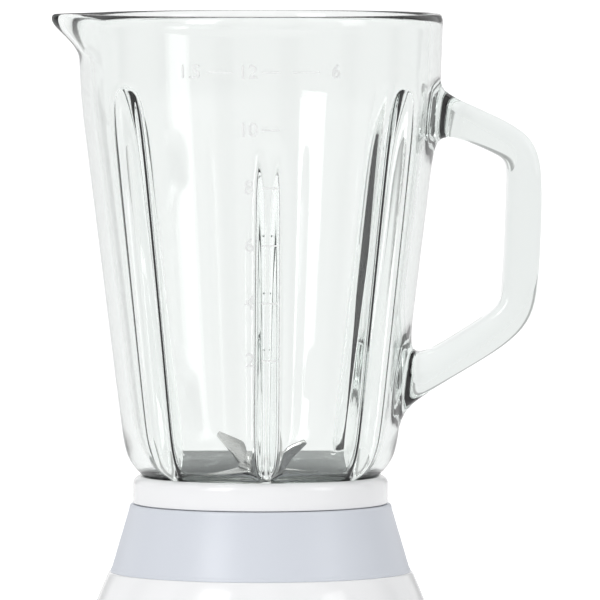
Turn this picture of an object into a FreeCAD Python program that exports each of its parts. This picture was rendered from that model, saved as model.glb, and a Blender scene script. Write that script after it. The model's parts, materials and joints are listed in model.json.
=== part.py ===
"""Countertop blender: a thick glass jar with a pouring lip, a glass handle and five inner ribs, screwed
into a collar that carries the blades. It stands on a bell-shaped base with a motor, a knob and an interlock.

Millimetres, +Z up. The origin is on the jar and motor axis, on the plane the foot ring stands on. The
handle points along +X, the lip along -X and the speed knob faces -Y. Each sub-part is written to
parts/NODE.step.
"""

import FreeCAD, Part
import math
import os

V = FreeCAD.Vector
ORIGIN = V(0, 0, 0)
UP = V(0, 0, 1)

# ---------------------------------------------------------------- driving dimensions
collar_height = 10.4         # the part of the collar that shows above the band
collar_radius = 48.2
collar_bore = 43.8
collar_ledge = 2.9

band_height = 25.5           # blue-grey cone band on the housing
band_rim = 1.1               # how far the band's top stands outside the collar
band_flare = 7.5
band_top_radius = collar_radius + band_rim
band_bottom_radius = band_top_radius + band_flare
band_wall = 2.3

foot_height = 5.0            # the foot ring lifts the base this far
base_top = 130.0             # top of the white housing
base_shoulder = 0.5          # how far the housing stands outside the band
base_top_radius = band_bottom_radius + base_shoulder
base_bottom_radius = 87.2
bell_top_slope = 23.7        # degrees from vertical at the top of the bell
shell_wall = 2.6

jar_height = 174.1           # from the collar's top to the rim's crest
jar_rim_radius = 69.2
jar_band_height = 32.3       # the nearly straight rim zone
jar_band_radius = 67.9       # where the straight zone meets the taper
jar_foot_height = 13.8       # the rounded bowl above the collar
jar_foot_radius = 52.1
glass_wall = 4.8
lid_zone_height = 20.0       # straight bore below the rim, for a lid's seal
neck_radius = 41.5
neck_bore = 36.5

rib_angles = (38.0, 142.0, 218.0, 322.0)     # the four tall ribs, from +X
front_rib_angle = 270.0
rib_width = 4.6
rib_depth_high = 7.0         # how far a rib stands out of the wall where it has run in
rib_depth_low = 11.5         # and at its foot
rib_top_drop = 26.0          # rim crest to the top of the tall ribs
front_rib_drop = 47.0        # rim crest to the top of the front rib
rib_run_in = 28.0            # height over which a rib rises out of the wall

lip_reach = 8.4              # how far the pouring lip stands out of the rim
lip_drop = 12.0
lip_half_width = 19.0
lip_edge = 3.4               # thickness of the lip at its tip

handle_reach = 107.3         # axis to the outer corner of the handle
handle_width = 20.0          # across the grip
handle_edge = 4.2            # rounding of the grip's edges
handle_drop_top = 16.9       # rim crest to the line of the handle's top at the jar
handle_drop_bottom = 158.9   # and to the line of its underside
handle_fall = 28.1           # fall of its top from the jar to the outer corner
handle_rise = 40.6           # rise of its underside from the jar to the outer corner
opening_drop_top = 41.7      # the finger opening, from the rim crest
opening_drop_bottom = 134.0
grip_top = 13.5              # thickness of the grip at its top and bottom
grip_bottom = 16.3

thread_lead = 36.0           # rise of the jar for one full turn in the collar
thread_starts = 4
lug_angle = 40.0             # length of each thread lug
lug_height = 2.0

knob_height = 62.0           # knob's axis above the counter, where it meets the bell
knob_radius = 20.0
knob_length = 14.0
dial_radius = 25.5
switch_shaft_radius = 3.0

motor_shaft_radius = 4.0
blade_shaft_radius = 3.0
stack_bottom = 62.0          # stator and armature stack
stack_top = 98.0
armature_radius = 20.0
air_gap = 0.7
stator_radius = 36.0
stator_flat = 31.0
fan_radius = 34.0
coupling_lobes = 6
blade_reach = 28.0
blade_thickness = 1.4

fit_gap = 0.03               # pieces that are fixed to each other
running_gap = 0.05           # shafts in their bushes
seat_gap = 0.3               # pieces that lift or turn past each other

# ---------------------------------------------------------------- levels worked out from them
band_top = base_top + band_height
collar_top = band_top + seat_gap + collar_height
rim_top = collar_top + jar_height
seat_depth = 12.3
seat_floor = band_top - seat_depth
collar_bottom = seat_floor + 0.1
neck_length = 15.2
neck_bottom = collar_top - neck_length
gasket_height = 1.9
carrier_flange = 2.7
carrier_bottom = collar_bottom + collar_ledge
carrier_top = carrier_bottom + carrier_flange
hub_top = carrier_top + 11.0
hub_bottom = carrier_bottom - 3.7


# ---------------------------------------------------------------- small helpers
def disc(radius, z0, z1, x=0.0, y=0.0):
    return Part.makeCylinder(radius, z1 - z0, V(x, y, z0), UP)


def ring(inner, outer, z0, z1, x=0.0, y=0.0):
    return disc(outer, z0, z1, x, y).cut(disc(inner, z0 - 1, z1 + 1, x, y))


def block(x0, x1, y0, y1, z0, z1):
    return Part.makeBox(x1 - x0, y1 - y0, z1 - z0, V(x0, y0, z0))


def along_y(radius, y, length, x, z):
    """A cylinder along +Y from y."""
    return Part.makeCylinder(radius, length, V(x, y, z), V(0, 1, 0))


def fuse(shapes):
    whole = shapes[0]
    if len(shapes) > 1:
        whole = whole.multiFuse(shapes[1:])
    return whole.removeSplitter()


def group(shapes):
    return Part.makeCompound(shapes)


def turned(shape, degrees, centre=ORIGIN, axis=UP):
    copy = shape.copy()
    copy.rotate(centre, axis, degrees)
    return copy


def around(shape, count, first=0.0):
    return [turned(shape, first + 360.0 * k / count) for k in range(count)]


def path(*steps):
    """Edges in the XZ plane. A step is a point (r, z), or (via, end) for an arc through via."""
    edges = []
    here = V(steps[0][0], 0, steps[0][1])
    for step in steps[1:]:
        if isinstance(step[0], tuple):
            via, end = V(step[0][0], 0, step[0][1]), V(step[1][0], 0, step[1][1])
            edges.append(Part.Arc(here, via, end).toShape())
        else:
            end = V(step[0], 0, step[1])
            edges.append(Part.LineSegment(here, end).toShape())
        here = end
    return edges


def lathe(*steps):
    """A solid of revolution about Z from a closed outline given as in path()."""
    wire = Part.Wire(path(*steps, steps[0]))
    return Part.Face(wire).revolve(ORIGIN, UP, 360)


def corner_arc(before, corner, after, radius):
    """Start, middle and end of the arc that rounds a corner of an outline in a plane."""
    a = (before - corner).normalize()
    b = (after - corner).normalize()
    half = math.acos(max(-1.0, min(1.0, a.dot(b)))) / 2
    start = corner + a * (radius / math.tan(half))
    end = corner + b * (radius / math.tan(half))
    inward = (a + b).normalize()
    centre = corner + inward * (radius / math.sin(half))
    return start, centre - inward * radius, end


def rounded_outline(corners):
    """A closed wire through corners (x, z, radius) in the XZ plane, each rounded by its radius."""
    points = [V(x, 0, z) for x, z, _ in corners]
    arcs = []
    for k, (_, _, radius) in enumerate(corners):
        arcs.append(corner_arc(points[k - 1], points[k], points[(k + 1) % len(points)], radius))
    edges = []
    for k, (start, middle, end) in enumerate(arcs):
        edges.append(Part.Arc(start, middle, end).toShape())
        edges.append(Part.LineSegment(end, arcs[(k + 1) % len(arcs)][0]).toShape())
    return Part.Wire(edges)


def sector(inner, outer, z0, z1, first, last):
    """A ring's sector between two angles in degrees."""
    piece = ring(inner, outer, z0, z1)
    wedge = Part.makeCylinder(outer * 2, z1 - z0 + 2, V(0, 0, z0 - 1), UP, last - first)
    return piece.common(turned(wedge, first))


def screw(x, y, head_z, head_radius, head_length, shank_radius, shank_length):
    """A pan-head screw driven upwards from below: its head's underside faces the floor."""
    head_bottom = head_z - head_length
    head = disc(head_radius, head_bottom, head_z, x, y)
    slot = block(x - head_radius, x + head_radius, y - 0.4, y + 0.4, head_bottom, head_z - head_length * 0.5)
    shank = disc(shank_radius, head_z, head_z + shank_length, x, y)
    return head.cut(slot).fuse(shank).removeSplitter()


# ---------------------------------------------------------------- the bell of the base
def bell_circle():
    """Centre (r, z) and radius of the bell's outline, an arc, from its ends and its slope at the top."""
    slope = math.radians(bell_top_slope)
    top = (base_top_radius, base_top)
    foot = (base_bottom_radius, foot_height)
    dr, dz = foot[0] - top[0], foot[1] - top[1]
    inward = (-math.cos(slope), -math.sin(slope))
    radius = abs((dr * dr + dz * dz) / (2 * (dr * inward[0] + dz * inward[1])))
    return (top[0] + inward[0] * radius, top[1] + inward[1] * radius), radius


bell_centre, bell_arc = bell_circle()


def bell_radius(z, inset=0.0):
    """Radius of the bell at height z, or of the surface that lies inset inside it."""
    return bell_centre[0] + math.sqrt((bell_arc - inset) ** 2 - (z - bell_centre[1]) ** 2)


def bell(z0, z1, inset=0.0):
    middle = (z0 + z1) / 2
    return lathe(
        (0, z0),
        (bell_radius(z0, inset), z0),
        ((bell_radius(middle, inset), middle), (bell_radius(z1, inset), z1)),
        (0, z1),
    )


knob_tilt = math.asin((knob_height - bell_centre[1]) / bell_arc)
knob_origin = V(0, -bell_radius(knob_height), knob_height)
knob_axis = V(0, -math.cos(knob_tilt), math.sin(knob_tilt))


def on_knob_axis(shape):
    """Moves a shape built along +Z at the origin on to the knob's axis, with z = 0 on the bell."""
    copy = shape.copy()
    copy.rotate(ORIGIN, V(1, 0, 0), 90 - math.degrees(knob_tilt))
    copy.translate(knob_origin)
    return copy


# ---------------------------------------------------------------- positions shared by the base's pieces
flange_thickness = 2.6
flange_bottom = base_top - flange_thickness
flange_bore = 34.0
well_radius = 21.0
well_wall = 2.0
well_bottom = base_top - 4.0
well_floor = 2.0
band_step = 4.9              # depth of the band's thick rim, which stands over the seat's wall
seat_wall_radius = collar_radius - 1.2
seat_screw_circle = 36.5
seat_screw_radius = 1.5
cover_thickness = 3.0
cover_top = foot_height + cover_thickness
cover_screw_circle = base_bottom_radius - 7.7
cover_screw_radius = 1.6
cover_head_radius = 3.0
cover_head_depth = 1.6
post_radius = 5.5
foot_outer = base_bottom_radius - 14.2
foot_inner = foot_outer - 7.0
foot_groove = 1.5
mount_x = 31.0
mount_y = 18.5
mount_screw_radius = 1.9
mount_post_bottom = 114.0
bracket_bottom = 108.0
bracket_top = 112.0
pin_circle = 40.0
pin_radius = 2.0
inlet_height = 15.0
inlet_radius = 5.4
inlet_bore = 3.9
board_y = 50.0
board_thickness = 1.6
board_screw_x = 18.0
board_screw_z = 72.0
bolt_x = 32.2
bolt_radius = 2.0
key_width = 6.0
key_depth = 1.5
key_height = 6.5
boss_wall = 2.5              # round mount for the dial on the front of the bell
boss_proud = 2.2
boss_depth = 9.0
dial_seat = 1.0              # the dial plate's back above the bell, along the knob's axis
dial_thickness = 1.0
knob_bottom = dial_seat + dial_thickness + seat_gap
switch_plate_radius = 17.0   # inside the boss, for the speed switch
switch_plate_back = 6.0
switch_plate_front = 1.6
hanger_radius = 4.6
board_post_radius = 3.2
board_screw_radius = 1.3
switch_wall_gap = 3.4        # interlock pin's axis to the wall that carries its switch
inlet_flange = 2.0
inlet_proud = 2.6


# ---------------------------------------------------------------- base
def base_housing():
    shell = bell(foot_height, base_top).cut(bell(foot_height - 1, flange_bottom, shell_wall))
    shell = shell.cut(disc(flange_bore, flange_bottom - 1, base_top + 1))
    boss_inner = dial_radius + 1.5 - boss_wall
    boss = on_knob_axis(disc(dial_radius + 1.5, -boss_depth, boss_proud))
    boss_inside = on_knob_axis(disc(boss_inner, -2 * boss_depth, -switch_plate_front))
    dial_recess = on_knob_axis(disc(dial_radius + fit_gap, dial_seat, 4))
    pad = on_knob_axis(disc(switch_plate_radius, -switch_plate_back, -switch_plate_front))
    posts = [disc(post_radius, cover_top + fit_gap, 40, x, y) for x, y in cover_screw_places()]
    hangers = [disc(hanger_radius, mount_post_bottom, flange_bottom, x, y) for x, y in mount_places()]
    wall_x = pin_circle + switch_wall_gap
    switch_wall = block(wall_x, wall_x + 2, -9, 9, mount_post_bottom + 2, flange_bottom)
    inside = bell(foot_height, base_top, shell_wall / 2)
    board_back = board_y + board_thickness + fit_gap
    board_posts = [along_y(board_post_radius, board_back, 60, x, board_screw_z) for x in board_screw_places()]
    board_posts = [post.common(inside) for post in board_posts]
    trimmed_posts = [post.common(inside) for post in posts]
    whole = fuse([shell, boss])
    whole = whole.cut(boss_inside).cut(dial_recess)
    whole = fuse([whole, pad, switch_wall] + trimmed_posts + hangers + board_posts)
    holes = [on_knob_axis(disc(switch_shaft_radius + 1.2, -12, 4))]
    holes += [disc(cover_screw_radius + fit_gap, 0, 24, x, y) for x, y in cover_screw_places()]
    holes += [disc(mount_screw_radius + fit_gap, 110, 124, x, y) for x, y in mount_places()]
    holes += [disc(seat_screw_radius + 0.3, 120, base_top + 1, x, y) for x, y in seat_screw_places()]
    holes += [disc(pin_radius + 0.2, 120, base_top + 1, pin_circle, 0)]
    shank_radius = board_screw_radius + fit_gap
    holes += [along_y(shank_radius, board_y, 8, x, board_screw_z) for x in board_screw_places()]
    holes += [along_y(inlet_radius + fit_gap, inlet_seat_y() - 15, 30, 0, inlet_height)]
    holes += [along_y(inlet_radius + inlet_flange + 0.2, inlet_seat_y(), 10, 0, inlet_height)]
    for hole in holes:
        whole = whole.cut(hole)
    return whole.removeSplitter()


def inlet_seat_y():
    return bell_radius(inlet_height) - 1.0


def cover_screw_places():
    angles = [math.radians(45 + 90 * k) for k in range(4)]
    return [(cover_screw_circle * math.cos(a), cover_screw_circle * math.sin(a)) for a in angles]


def seat_screw_places():
    angles = [math.radians(60 + 120 * k) for k in range(3)]
    return [(seat_screw_circle * math.cos(a), seat_screw_circle * math.sin(a)) for a in angles]


def board_screw_places():
    return (-board_screw_x, board_screw_x)


def mount_places():
    return [(sx * mount_x, sy * mount_y) for sx in (-1, 1) for sy in (-1, 1)]


def trim_band():
    slope = (band_bottom_radius - band_top_radius) / band_height
    step_radius = band_top_radius + slope * band_step - band_wall
    return lathe(
        (band_bottom_radius - band_wall, base_top),
        (band_bottom_radius, base_top),
        (band_top_radius + slope * 0.8, band_top - 0.8),
        ((band_top_radius - 0.1, band_top - 0.2), (band_top_radius - 0.9, band_top)),
        (seat_wall_radius, band_top),
        (seat_wall_radius, band_top - band_step),
        (step_radius, band_top - band_step),
    )


def jar_seat():
    outer = seat_wall_radius + 1.3
    shaft_hole = motor_shaft_radius + 1.6
    floor_bottom = seat_floor - 2.5
    skirt_inner, skirt_outer = seat_wall_radius - 3.4, seat_wall_radius - 1.4
    cup = lathe(
        (shaft_hole, well_bottom),
        (well_radius + well_wall, well_bottom),
        (well_radius + well_wall, floor_bottom),
        (skirt_inner, floor_bottom),
        (skirt_inner, base_top),
        (skirt_outer, base_top),
        (skirt_outer, floor_bottom),
        (outer, floor_bottom),
        (outer, band_top - band_step - seat_gap),
        (seat_wall_radius, band_top - band_step - seat_gap),
        (seat_wall_radius, seat_floor),
        (well_radius, seat_floor),
        (well_radius, well_bottom + well_floor),
        (shaft_hole, well_bottom + well_floor),
    )
    bosses = [disc(3.6, base_top, seat_floor - 2.0, x, y) for x, y in seat_screw_places()]
    inner, half = seat_wall_radius - key_depth, key_width / 2
    key = block(inner, seat_wall_radius + 0.5, -half, half, seat_floor - 0.5, seat_floor + key_height)
    whole = fuse([cup] + bosses + around(key, 4, 45))
    for x, y in seat_screw_places():
        whole = whole.cut(disc(seat_screw_radius + fit_gap, base_top - 1, base_top + 8.5, x, y))
    return whole.cut(disc(pin_radius + 0.2, base_top - 1, seat_floor + 1, pin_circle, 0))


def seat_screws():
    places = seat_screw_places()
    return group([screw(x, y, flange_bottom, 3.0, 2.2, seat_screw_radius, 10.0) for x, y in places])


def bottom_cover():
    plate = disc(bell_radius(foot_height, shell_wall) - 0.4, foot_height, cover_top)
    below, above = foot_height - 1, cover_top + 1
    plate = plate.cut(ring(foot_inner - fit_gap, foot_outer + fit_gap, below, foot_height + foot_groove))
    slot_half, slot_start, slot_end = 1.6, 15.0, 33.0
    slot_ends = [disc(slot_half, below, above, x, 0) for x in (slot_start, slot_end)]
    slot = fuse([block(slot_start, slot_end, -slot_half, slot_half, below, above)] + slot_ends)
    for piece in around(slot, 18):
        plate = plate.cut(piece)
    for x, y in cover_screw_places():
        plate = plate.cut(disc(cover_screw_radius + 0.3, below, above, x, y))
        plate = plate.cut(disc(cover_head_radius + 0.3, below, foot_height + cover_head_depth, x, y))
    stiffener = ring(40, 42, cover_top - 0.5, cover_top + 4)
    return fuse([plate, stiffener])


def cover_screws():
    head_z = foot_height + cover_head_depth
    places = cover_screw_places()
    return group([screw(x, y, head_z, cover_head_radius, 1.4, cover_screw_radius, 14.0) for x, y in places])


def foot_ring():
    rubber = ring(foot_inner, foot_outer, 0, foot_height + foot_groove)
    sole = [e for e in rubber.Edges if e.BoundBox.ZMax < 0.01 and len(e.Vertexes) == 1]
    return rubber.makeFillet(0.9, sole)


def cord_inlet():
    seat_y = inlet_seat_y()
    inner_y = seat_y - shell_wall - 5
    body = along_y(inlet_radius, inner_y, seat_y + inlet_proud - inner_y, 0, inlet_height)
    flange = along_y(inlet_radius + inlet_flange, seat_y, inlet_proud, 0, inlet_height)
    flange = flange.makeFillet(0.9, [e for e in flange.Edges if e.BoundBox.YMin > seat_y + inlet_proud - 0.1])
    hole = along_y(inlet_bore, inner_y - 5, 40, 0, inlet_height)
    return fuse([body, flange]).cut(hole)


def terminal_block():
    body = block(-13, 13, 50, 62, cover_top + fit_gap, 20)
    for x in (-8, 0, 8):
        body = body.cut(disc(1.8, 12, 21, x, 53)).cut(disc(1.8, 12, 21, x, 59))
    return body


# ---------------------------------------------------------------- knob and switch
pointer_half = 1.1
pointer_start = 5.0
pointer_seat = knob_length - 1.0


def dial_plate():
    return on_knob_axis(ring(switch_shaft_radius + 1.2, dial_radius, dial_seat, dial_seat + dial_thickness))


def control_knob():
    skirt_height = 3.2
    skirt = disc(knob_radius, 0, skirt_height)
    grip_height = knob_length - skirt_height
    body = Part.makeCone(knob_radius - 1.2, knob_radius - 3.4, grip_height, V(0, 0, skirt_height))
    body = body.makeFillet(1.6, [e for e in body.Edges if e.BoundBox.ZMin > knob_length - 0.1])
    flute = disc(1.5, skirt_height, knob_length + 1, knob_radius - 0.9, 0)
    for piece in around(flute, 28, 6.4):
        body = body.cut(piece)
    groove_end, above = knob_radius - 3.2, knob_length + 1
    groove = block(-pointer_half, pointer_half, pointer_start, groove_end, pointer_seat, above)
    whole = fuse([skirt, body]).cut(groove)
    whole = whole.cut(disc(switch_shaft_radius + fit_gap, -1, 9))
    whole.translate(V(0, 0, knob_bottom))
    return on_knob_axis(whole)


def knob_pointer():
    half = pointer_half - fit_gap
    bottom, top = pointer_seat + fit_gap, knob_length + 0.15
    bar = block(-half, half, pointer_start + fit_gap, knob_radius - 4.6, bottom, top)
    bar.translate(V(0, 0, knob_bottom))
    return on_knob_axis(bar)


def switch_shaft():
    return on_knob_axis(disc(switch_shaft_radius, -9.0, knob_bottom + 8.9))


def speed_switch():
    body = block(-13, 13, -13, 13, -22, -switch_plate_back - fit_gap)
    blades = [block(x - 2.4, x + 2.4, -0.4, 0.4, -29, -21.5) for x in (-8, 0, 8)]
    whole = fuse([body] + blades)
    whole = whole.cut(disc(switch_shaft_radius + running_gap, -10, 0))
    return on_knob_axis(whole)


# ---------------------------------------------------------------- interlock
pin_bottom = base_top - 1.8
pin_collar = base_top + 4.2


def interlock_pin():
    rod = disc(pin_radius, pin_bottom, seat_floor, pin_circle, 0)
    spring_stop = disc(3.2, pin_collar, pin_collar + 1.5, pin_circle, 0)
    return fuse([rod, spring_stop])


def interlock_spring():
    wire_radius = 0.3
    coil_radius = 2.75
    bottom = base_top + wire_radius + 0.1
    top = pin_collar - wire_radius - 0.1
    helix = Part.makeHelix((top - bottom) / 3.5, top - bottom, coil_radius)
    section = Part.Wire(Part.makeCircle(wire_radius, V(coil_radius, 0, 0), V(0, 1, 0)))
    spring = Part.Wire(helix.Edges).makePipeShell([section], True, True)
    spring.translate(V(pin_circle, 0, bottom))
    return spring


def interlock_switch():
    body = block(pin_circle - 3.2, pin_circle + switch_wall_gap - fit_gap, -10, 10, 113.5, 124.5)
    button = block(pin_circle - 1.2, pin_circle + 1.2, -1.5, 1.5, 124, pin_bottom - 0.1)
    legs = [block(pin_circle - 0.3, pin_circle + 0.3, y - 1.5, y + 1.5, 108.5, 114) for y in (-7, 0, 7)]
    return fuse([body, button] + legs)


# ---------------------------------------------------------------- circuit board
def circuit_board():
    board = block(-23, 23, board_y, board_y + board_thickness, 54, 90)
    for x in board_screw_places():
        board = board.cut(along_y(board_screw_radius + 0.2, board_y - 2, 10, x, board_screw_z))
    return board


def board_screws():
    screws = []
    head_length = 1.8
    for x in board_screw_places():
        head = along_y(2.6, board_y - head_length - fit_gap, head_length, x, board_screw_z)
        shank = along_y(board_screw_radius, board_y - fit_gap, 8, x, board_screw_z)
        screws.append(fuse([head, shank]))
    return group(screws)


def suppression_capacitor():
    can = block(-9, 9, board_y - 9, board_y - fit_gap, 74, 87)
    return can.makeFillet(1.0, [e for e in can.Edges if e.BoundBox.YMax < board_y - 8.9])


def rectifier_diodes():
    return group([disc(1.6, 60, 67, x, board_y - 1.9) for x in (-9, -3, 3, 9)])


# ---------------------------------------------------------------- motor, fixed pieces
window_inner = armature_radius + air_gap + 1.3
window_outer = window_inner + 9.0
window_edges = (22.5, 48.0)
coil_overhang = 7.0
bearing_radius = 8.0
upper_bearing_seat = bracket_bottom + 1.0
upper_bearing_top = 117.6
lower_bearing_seat = 31.5
lower_bearing_top = 39.7
lower_plate_bottom = 34.0
lower_plate_top = 38.0
brush_stand_y = 25.0
brush_stand_top = 44.0
grommet_neck = 4.0
grommet_radius = 6.4
grommet_lip = 2.2


def stator_core():
    plan = disc(stator_radius, stack_bottom, stack_top)
    plan = plan.common(block(-40, 40, -stator_flat, stator_flat, stack_bottom - 1, stack_top + 1))
    plan = plan.cut(disc(armature_radius + air_gap, stack_bottom - 1, stack_top + 1))
    first, last = window_edges
    windows = [(first, last), (180 - last, 180 - first)]
    windows += [(start + 180, end + 180) for start, end in windows]
    for start, end in windows:
        plan = plan.cut(sector(window_inner, window_outer, stack_bottom - 1, stack_top + 1, start, end))
    for x in (-bolt_x, bolt_x):
        plan = plan.cut(disc(bolt_radius + 0.2, stack_bottom - 1, stack_top + 1, x, 0))
    return plan


def field_coils():
    inner, outer = window_inner + 0.3, window_outer - 0.3
    first, last = window_edges[0] + 1, window_edges[1] - 1
    loop = sector(inner, outer, stack_bottom - coil_overhang, stack_top + coil_overhang, first, 180 - first)
    pole = sector(inner - 1, outer + 1, stack_bottom - 0.4, stack_top + 0.4, last, 180 - last)
    coil = loop.cut(pole)
    return group([coil, turned(coil, 180)])


def bracket_leg(z0, z1):
    middle = bolt_x - 0.7
    return [block(sx * middle - 4.5, sx * middle + 4.5, -7, 7, z0, z1) for sx in (-1, 1)]


def upper_bracket():
    plate = block(-mount_x - 7, mount_x + 7, -mount_y - 6.5, mount_y + 6.5, bracket_bottom, bracket_top)
    plate = plate.makeFillet(5, [e for e in plate.Edges if e.BoundBox.ZLength > 3.9])
    hub = disc(bearing_radius + 4.0, bracket_bottom - 0.8, upper_bearing_top + 0.4)
    whole = fuse([plate, hub] + bracket_leg(stack_top + fit_gap, bracket_bottom))
    whole = whole.cut(disc(bearing_radius + fit_gap, upper_bearing_seat, upper_bearing_top + 1))
    whole = whole.cut(disc(motor_shaft_radius + 0.8, stack_top, upper_bearing_top + 1))
    for x, y in mount_places():
        whole = whole.cut(disc(grommet_neck + fit_gap, bracket_bottom - 1, bracket_top + 1, x, y))
    for x in (-bolt_x, bolt_x):
        whole = whole.cut(disc(bolt_radius + fit_gap, stack_top - 1, bracket_bottom - 2, x, 0))
    return whole


def upper_bearing():
    inner = motor_shaft_radius + running_gap
    return ring(inner, bearing_radius, upper_bearing_seat + fit_gap, upper_bearing_top)


def lower_bracket():
    low, high = lower_plate_bottom, lower_plate_top
    plate = block(-bolt_x - 3.8, bolt_x + 3.8, -13, 13, low, high)
    plate = plate.makeFillet(5, [e for e in plate.Edges if e.BoundBox.ZLength > 3.9])
    hub = disc(bearing_radius + 4.0, lower_bearing_seat - 1.0, lower_bearing_top + 0.3)
    cross = block(-7, 7, -brush_stand_y - 5, brush_stand_y + 5, low, high)
    stand = block(-6, 6, brush_stand_y - 4, brush_stand_y + 4, high - 1, brush_stand_top)
    whole = fuse([plate, hub, cross] + around(stand, 2) + bracket_leg(high - 1, stack_bottom - fit_gap))
    whole = whole.cut(disc(bearing_radius + fit_gap, lower_bearing_seat, lower_bearing_top + 1))
    whole = whole.cut(disc(motor_shaft_radius + 0.8, low - 10, high + 10))
    for x in (-bolt_x, bolt_x):
        whole = whole.cut(disc(bolt_radius + fit_gap, low - 1, stack_bottom + 1, x, 0))
    return whole


def lower_bearing():
    inner = motor_shaft_radius + running_gap
    return ring(inner, bearing_radius, lower_bearing_seat + fit_gap, lower_bearing_top)


def bracket_bolts():
    head_z = lower_plate_bottom - fit_gap
    length = bracket_bottom - 2.5 - head_z
    return group([screw(x, 0, head_z, 3.6, 2.6, bolt_radius, length) for x in (-bolt_x, bolt_x)])


def mount_grommets():
    rubbers = []
    for x, y in mount_places():
        lower = disc(grommet_radius, bracket_bottom - grommet_lip, bracket_bottom - fit_gap, x, y)
        upper = disc(grommet_radius, bracket_top + fit_gap, mount_post_bottom - fit_gap, x, y)
        sleeve = disc(grommet_neck, bracket_bottom - 1, bracket_top + 1, x, y)
        core = disc(mount_screw_radius + fit_gap, bracket_bottom - 3, mount_post_bottom + 1, x, y)
        rubbers.append(fuse([sleeve, lower, upper]).cut(core))
    return group(rubbers)


def mount_screws():
    head_z = bracket_bottom - grommet_lip - fit_gap
    return group([screw(x, y, head_z, 3.8, 2.2, mount_screw_radius, 17.0) for x, y in mount_places()])


commutator_radius = 11.0
brush_z = 48.5
brush_half = 3.0             # half the brush's section each way
brush_end = 26.0             # axis to the brush's back
holder_end = 34.0
holder_back = 1.2            # thickness of the holder's closed end
winding_head = 6.6


def square_bar(half, y0, y1):
    """A square bar along Y at the brushes' height."""
    return block(-half, half, y0, y1, brush_z - half, brush_z + half)


def brush_holders():
    wall_half = brush_half + 1.5
    hollow = square_bar(brush_half + 0.1, commutator_radius + 2, holder_end - holder_back)
    tube = square_bar(wall_half, commutator_radius + 3, holder_end).cut(hollow)
    foot_bottom = brush_stand_top + fit_gap
    foot = block(-wall_half, wall_half, brush_stand_y - 3.5, brush_stand_y + 3.5, foot_bottom, brush_z - 4.0)
    return group(around(fuse([tube, foot]), 2))


def carbon_brushes():
    return group(around(square_bar(brush_half, commutator_radius + 0.1, brush_end), 2))


def brush_springs():
    wire_radius = 0.4
    coil_radius = 2.2
    length = holder_end - holder_back - brush_end - 2 * wire_radius - 0.2
    helix = Part.makeHelix(length / 3.5, length, coil_radius)
    section = Part.Wire(Part.makeCircle(wire_radius, V(coil_radius, 0, 0), V(0, 1, 0)))
    spring = Part.Wire(helix.Edges).makePipeShell([section], True, True)
    spring.rotate(ORIGIN, V(1, 0, 0), -90)
    spring.translate(V(0, brush_end + wire_radius + 0.1, brush_z))
    return group([spring, turned(spring, 180)])


# ---------------------------------------------------------------- motor, turning pieces
shaft_top = base_top + 7.0
fan_bottom = 18.0
fan_top = 29.0


def motor_shaft():
    return disc(motor_shaft_radius, fan_bottom - 2, shaft_top)


def armature_core():
    core = ring(motor_shaft_radius + fit_gap, armature_radius, stack_bottom, stack_top)
    low, high = stack_bottom - 1, stack_top + 1
    wide = block(armature_radius - 8, armature_radius - 1.2, -1.9, 1.9, low, high)
    slot = fuse([wide, block(armature_radius - 2, armature_radius + 1, -0.9, 0.9, low, high)])
    for piece in around(slot, 12):
        core = core.cut(piece)
    return core


def armature_windings():
    inner = motor_shaft_radius + fit_gap
    outer = armature_radius - 1.5
    heads = []
    lower = (stack_bottom - winding_head, stack_bottom - fit_gap)
    upper = (stack_top + fit_gap, stack_top + winding_head)
    for z0, z1 in (lower, upper):
        head = ring(inner, outer, z0, z1)
        rims = [e for e in head.Edges if len(e.Vertexes) == 1 and e.BoundBox.XMax > outer - 0.1]
        heads.append(head.makeFillet(2.4, rims))
    bar = block(armature_radius - 7.7, outer, -1.6, 1.6, stack_bottom - 0.5, stack_top + 0.5)
    return fuse(heads + around(bar, 12))


def commutator():
    bottom, top = brush_z - 6.5, stack_bottom - winding_head - fit_gap
    drum = ring(motor_shaft_radius + fit_gap, commutator_radius, bottom, top)
    cut = block(commutator_radius - 0.8, commutator_radius + 1, -0.25, 0.25, bottom - 1, top - 2)
    for piece in around(cut, 24):
        drum = drum.cut(piece)
    return drum


def cooling_fan():
    hub_radius, plate_bottom = 8.0, fan_top - 1.8
    hub = ring(motor_shaft_radius + fit_gap, hub_radius, fan_bottom, fan_top)
    plate = ring(hub_radius - 1, fan_radius, plate_bottom, fan_top)
    blade = block(hub_radius, fan_radius - 0.5, -0.8, 0.8, fan_bottom + 1, plate_bottom + 0.8)
    blade = turned(blade, 14, V(hub_radius, 0, 0)).common(disc(fan_radius, fan_bottom, fan_top))
    return fuse([hub, plate] + around(blade, 12))


def coupling_star(extra, z0, z1):
    """The lobed plan shared by the drive coupling and, made larger by a clearance, its socket."""
    star = [disc(8.5 + extra, z0, z1)]
    star += around(disc(2.5 + extra, z0, z1, 8.9, 0), coupling_lobes)
    return fuse(star)


drive_bottom = well_bottom + well_floor + 0.8
drive_top = base_top + 8.5
socket_bottom = base_top + 0.9
socket_top = hub_bottom - 0.5
blade_shaft_top = hub_top + 12.0
spacer_bottom = hub_top + 2.3
spacer_top = hub_top + 4.3
bush_radius = 5.0


def drive_coupling():
    whole = coupling_star(0, drive_bottom, drive_top)
    return whole.cut(disc(motor_shaft_radius + fit_gap, drive_bottom - 1, shaft_top + fit_gap))


# ---------------------------------------------------------------- blade unit
def driven_coupling():
    body = disc(16.5, socket_bottom, socket_top)
    body = body.makeFillet(1.2, [e for e in body.Edges if len(e.Vertexes) == 1])
    body = body.cut(coupling_star(seat_gap + 0.1, socket_bottom - 1, drive_top + 0.6))
    return body.cut(disc(blade_shaft_radius + fit_gap, drive_top, socket_top + 1))


def blade_shaft():
    return disc(blade_shaft_radius, drive_top + 0.8, blade_shaft_top)


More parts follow.
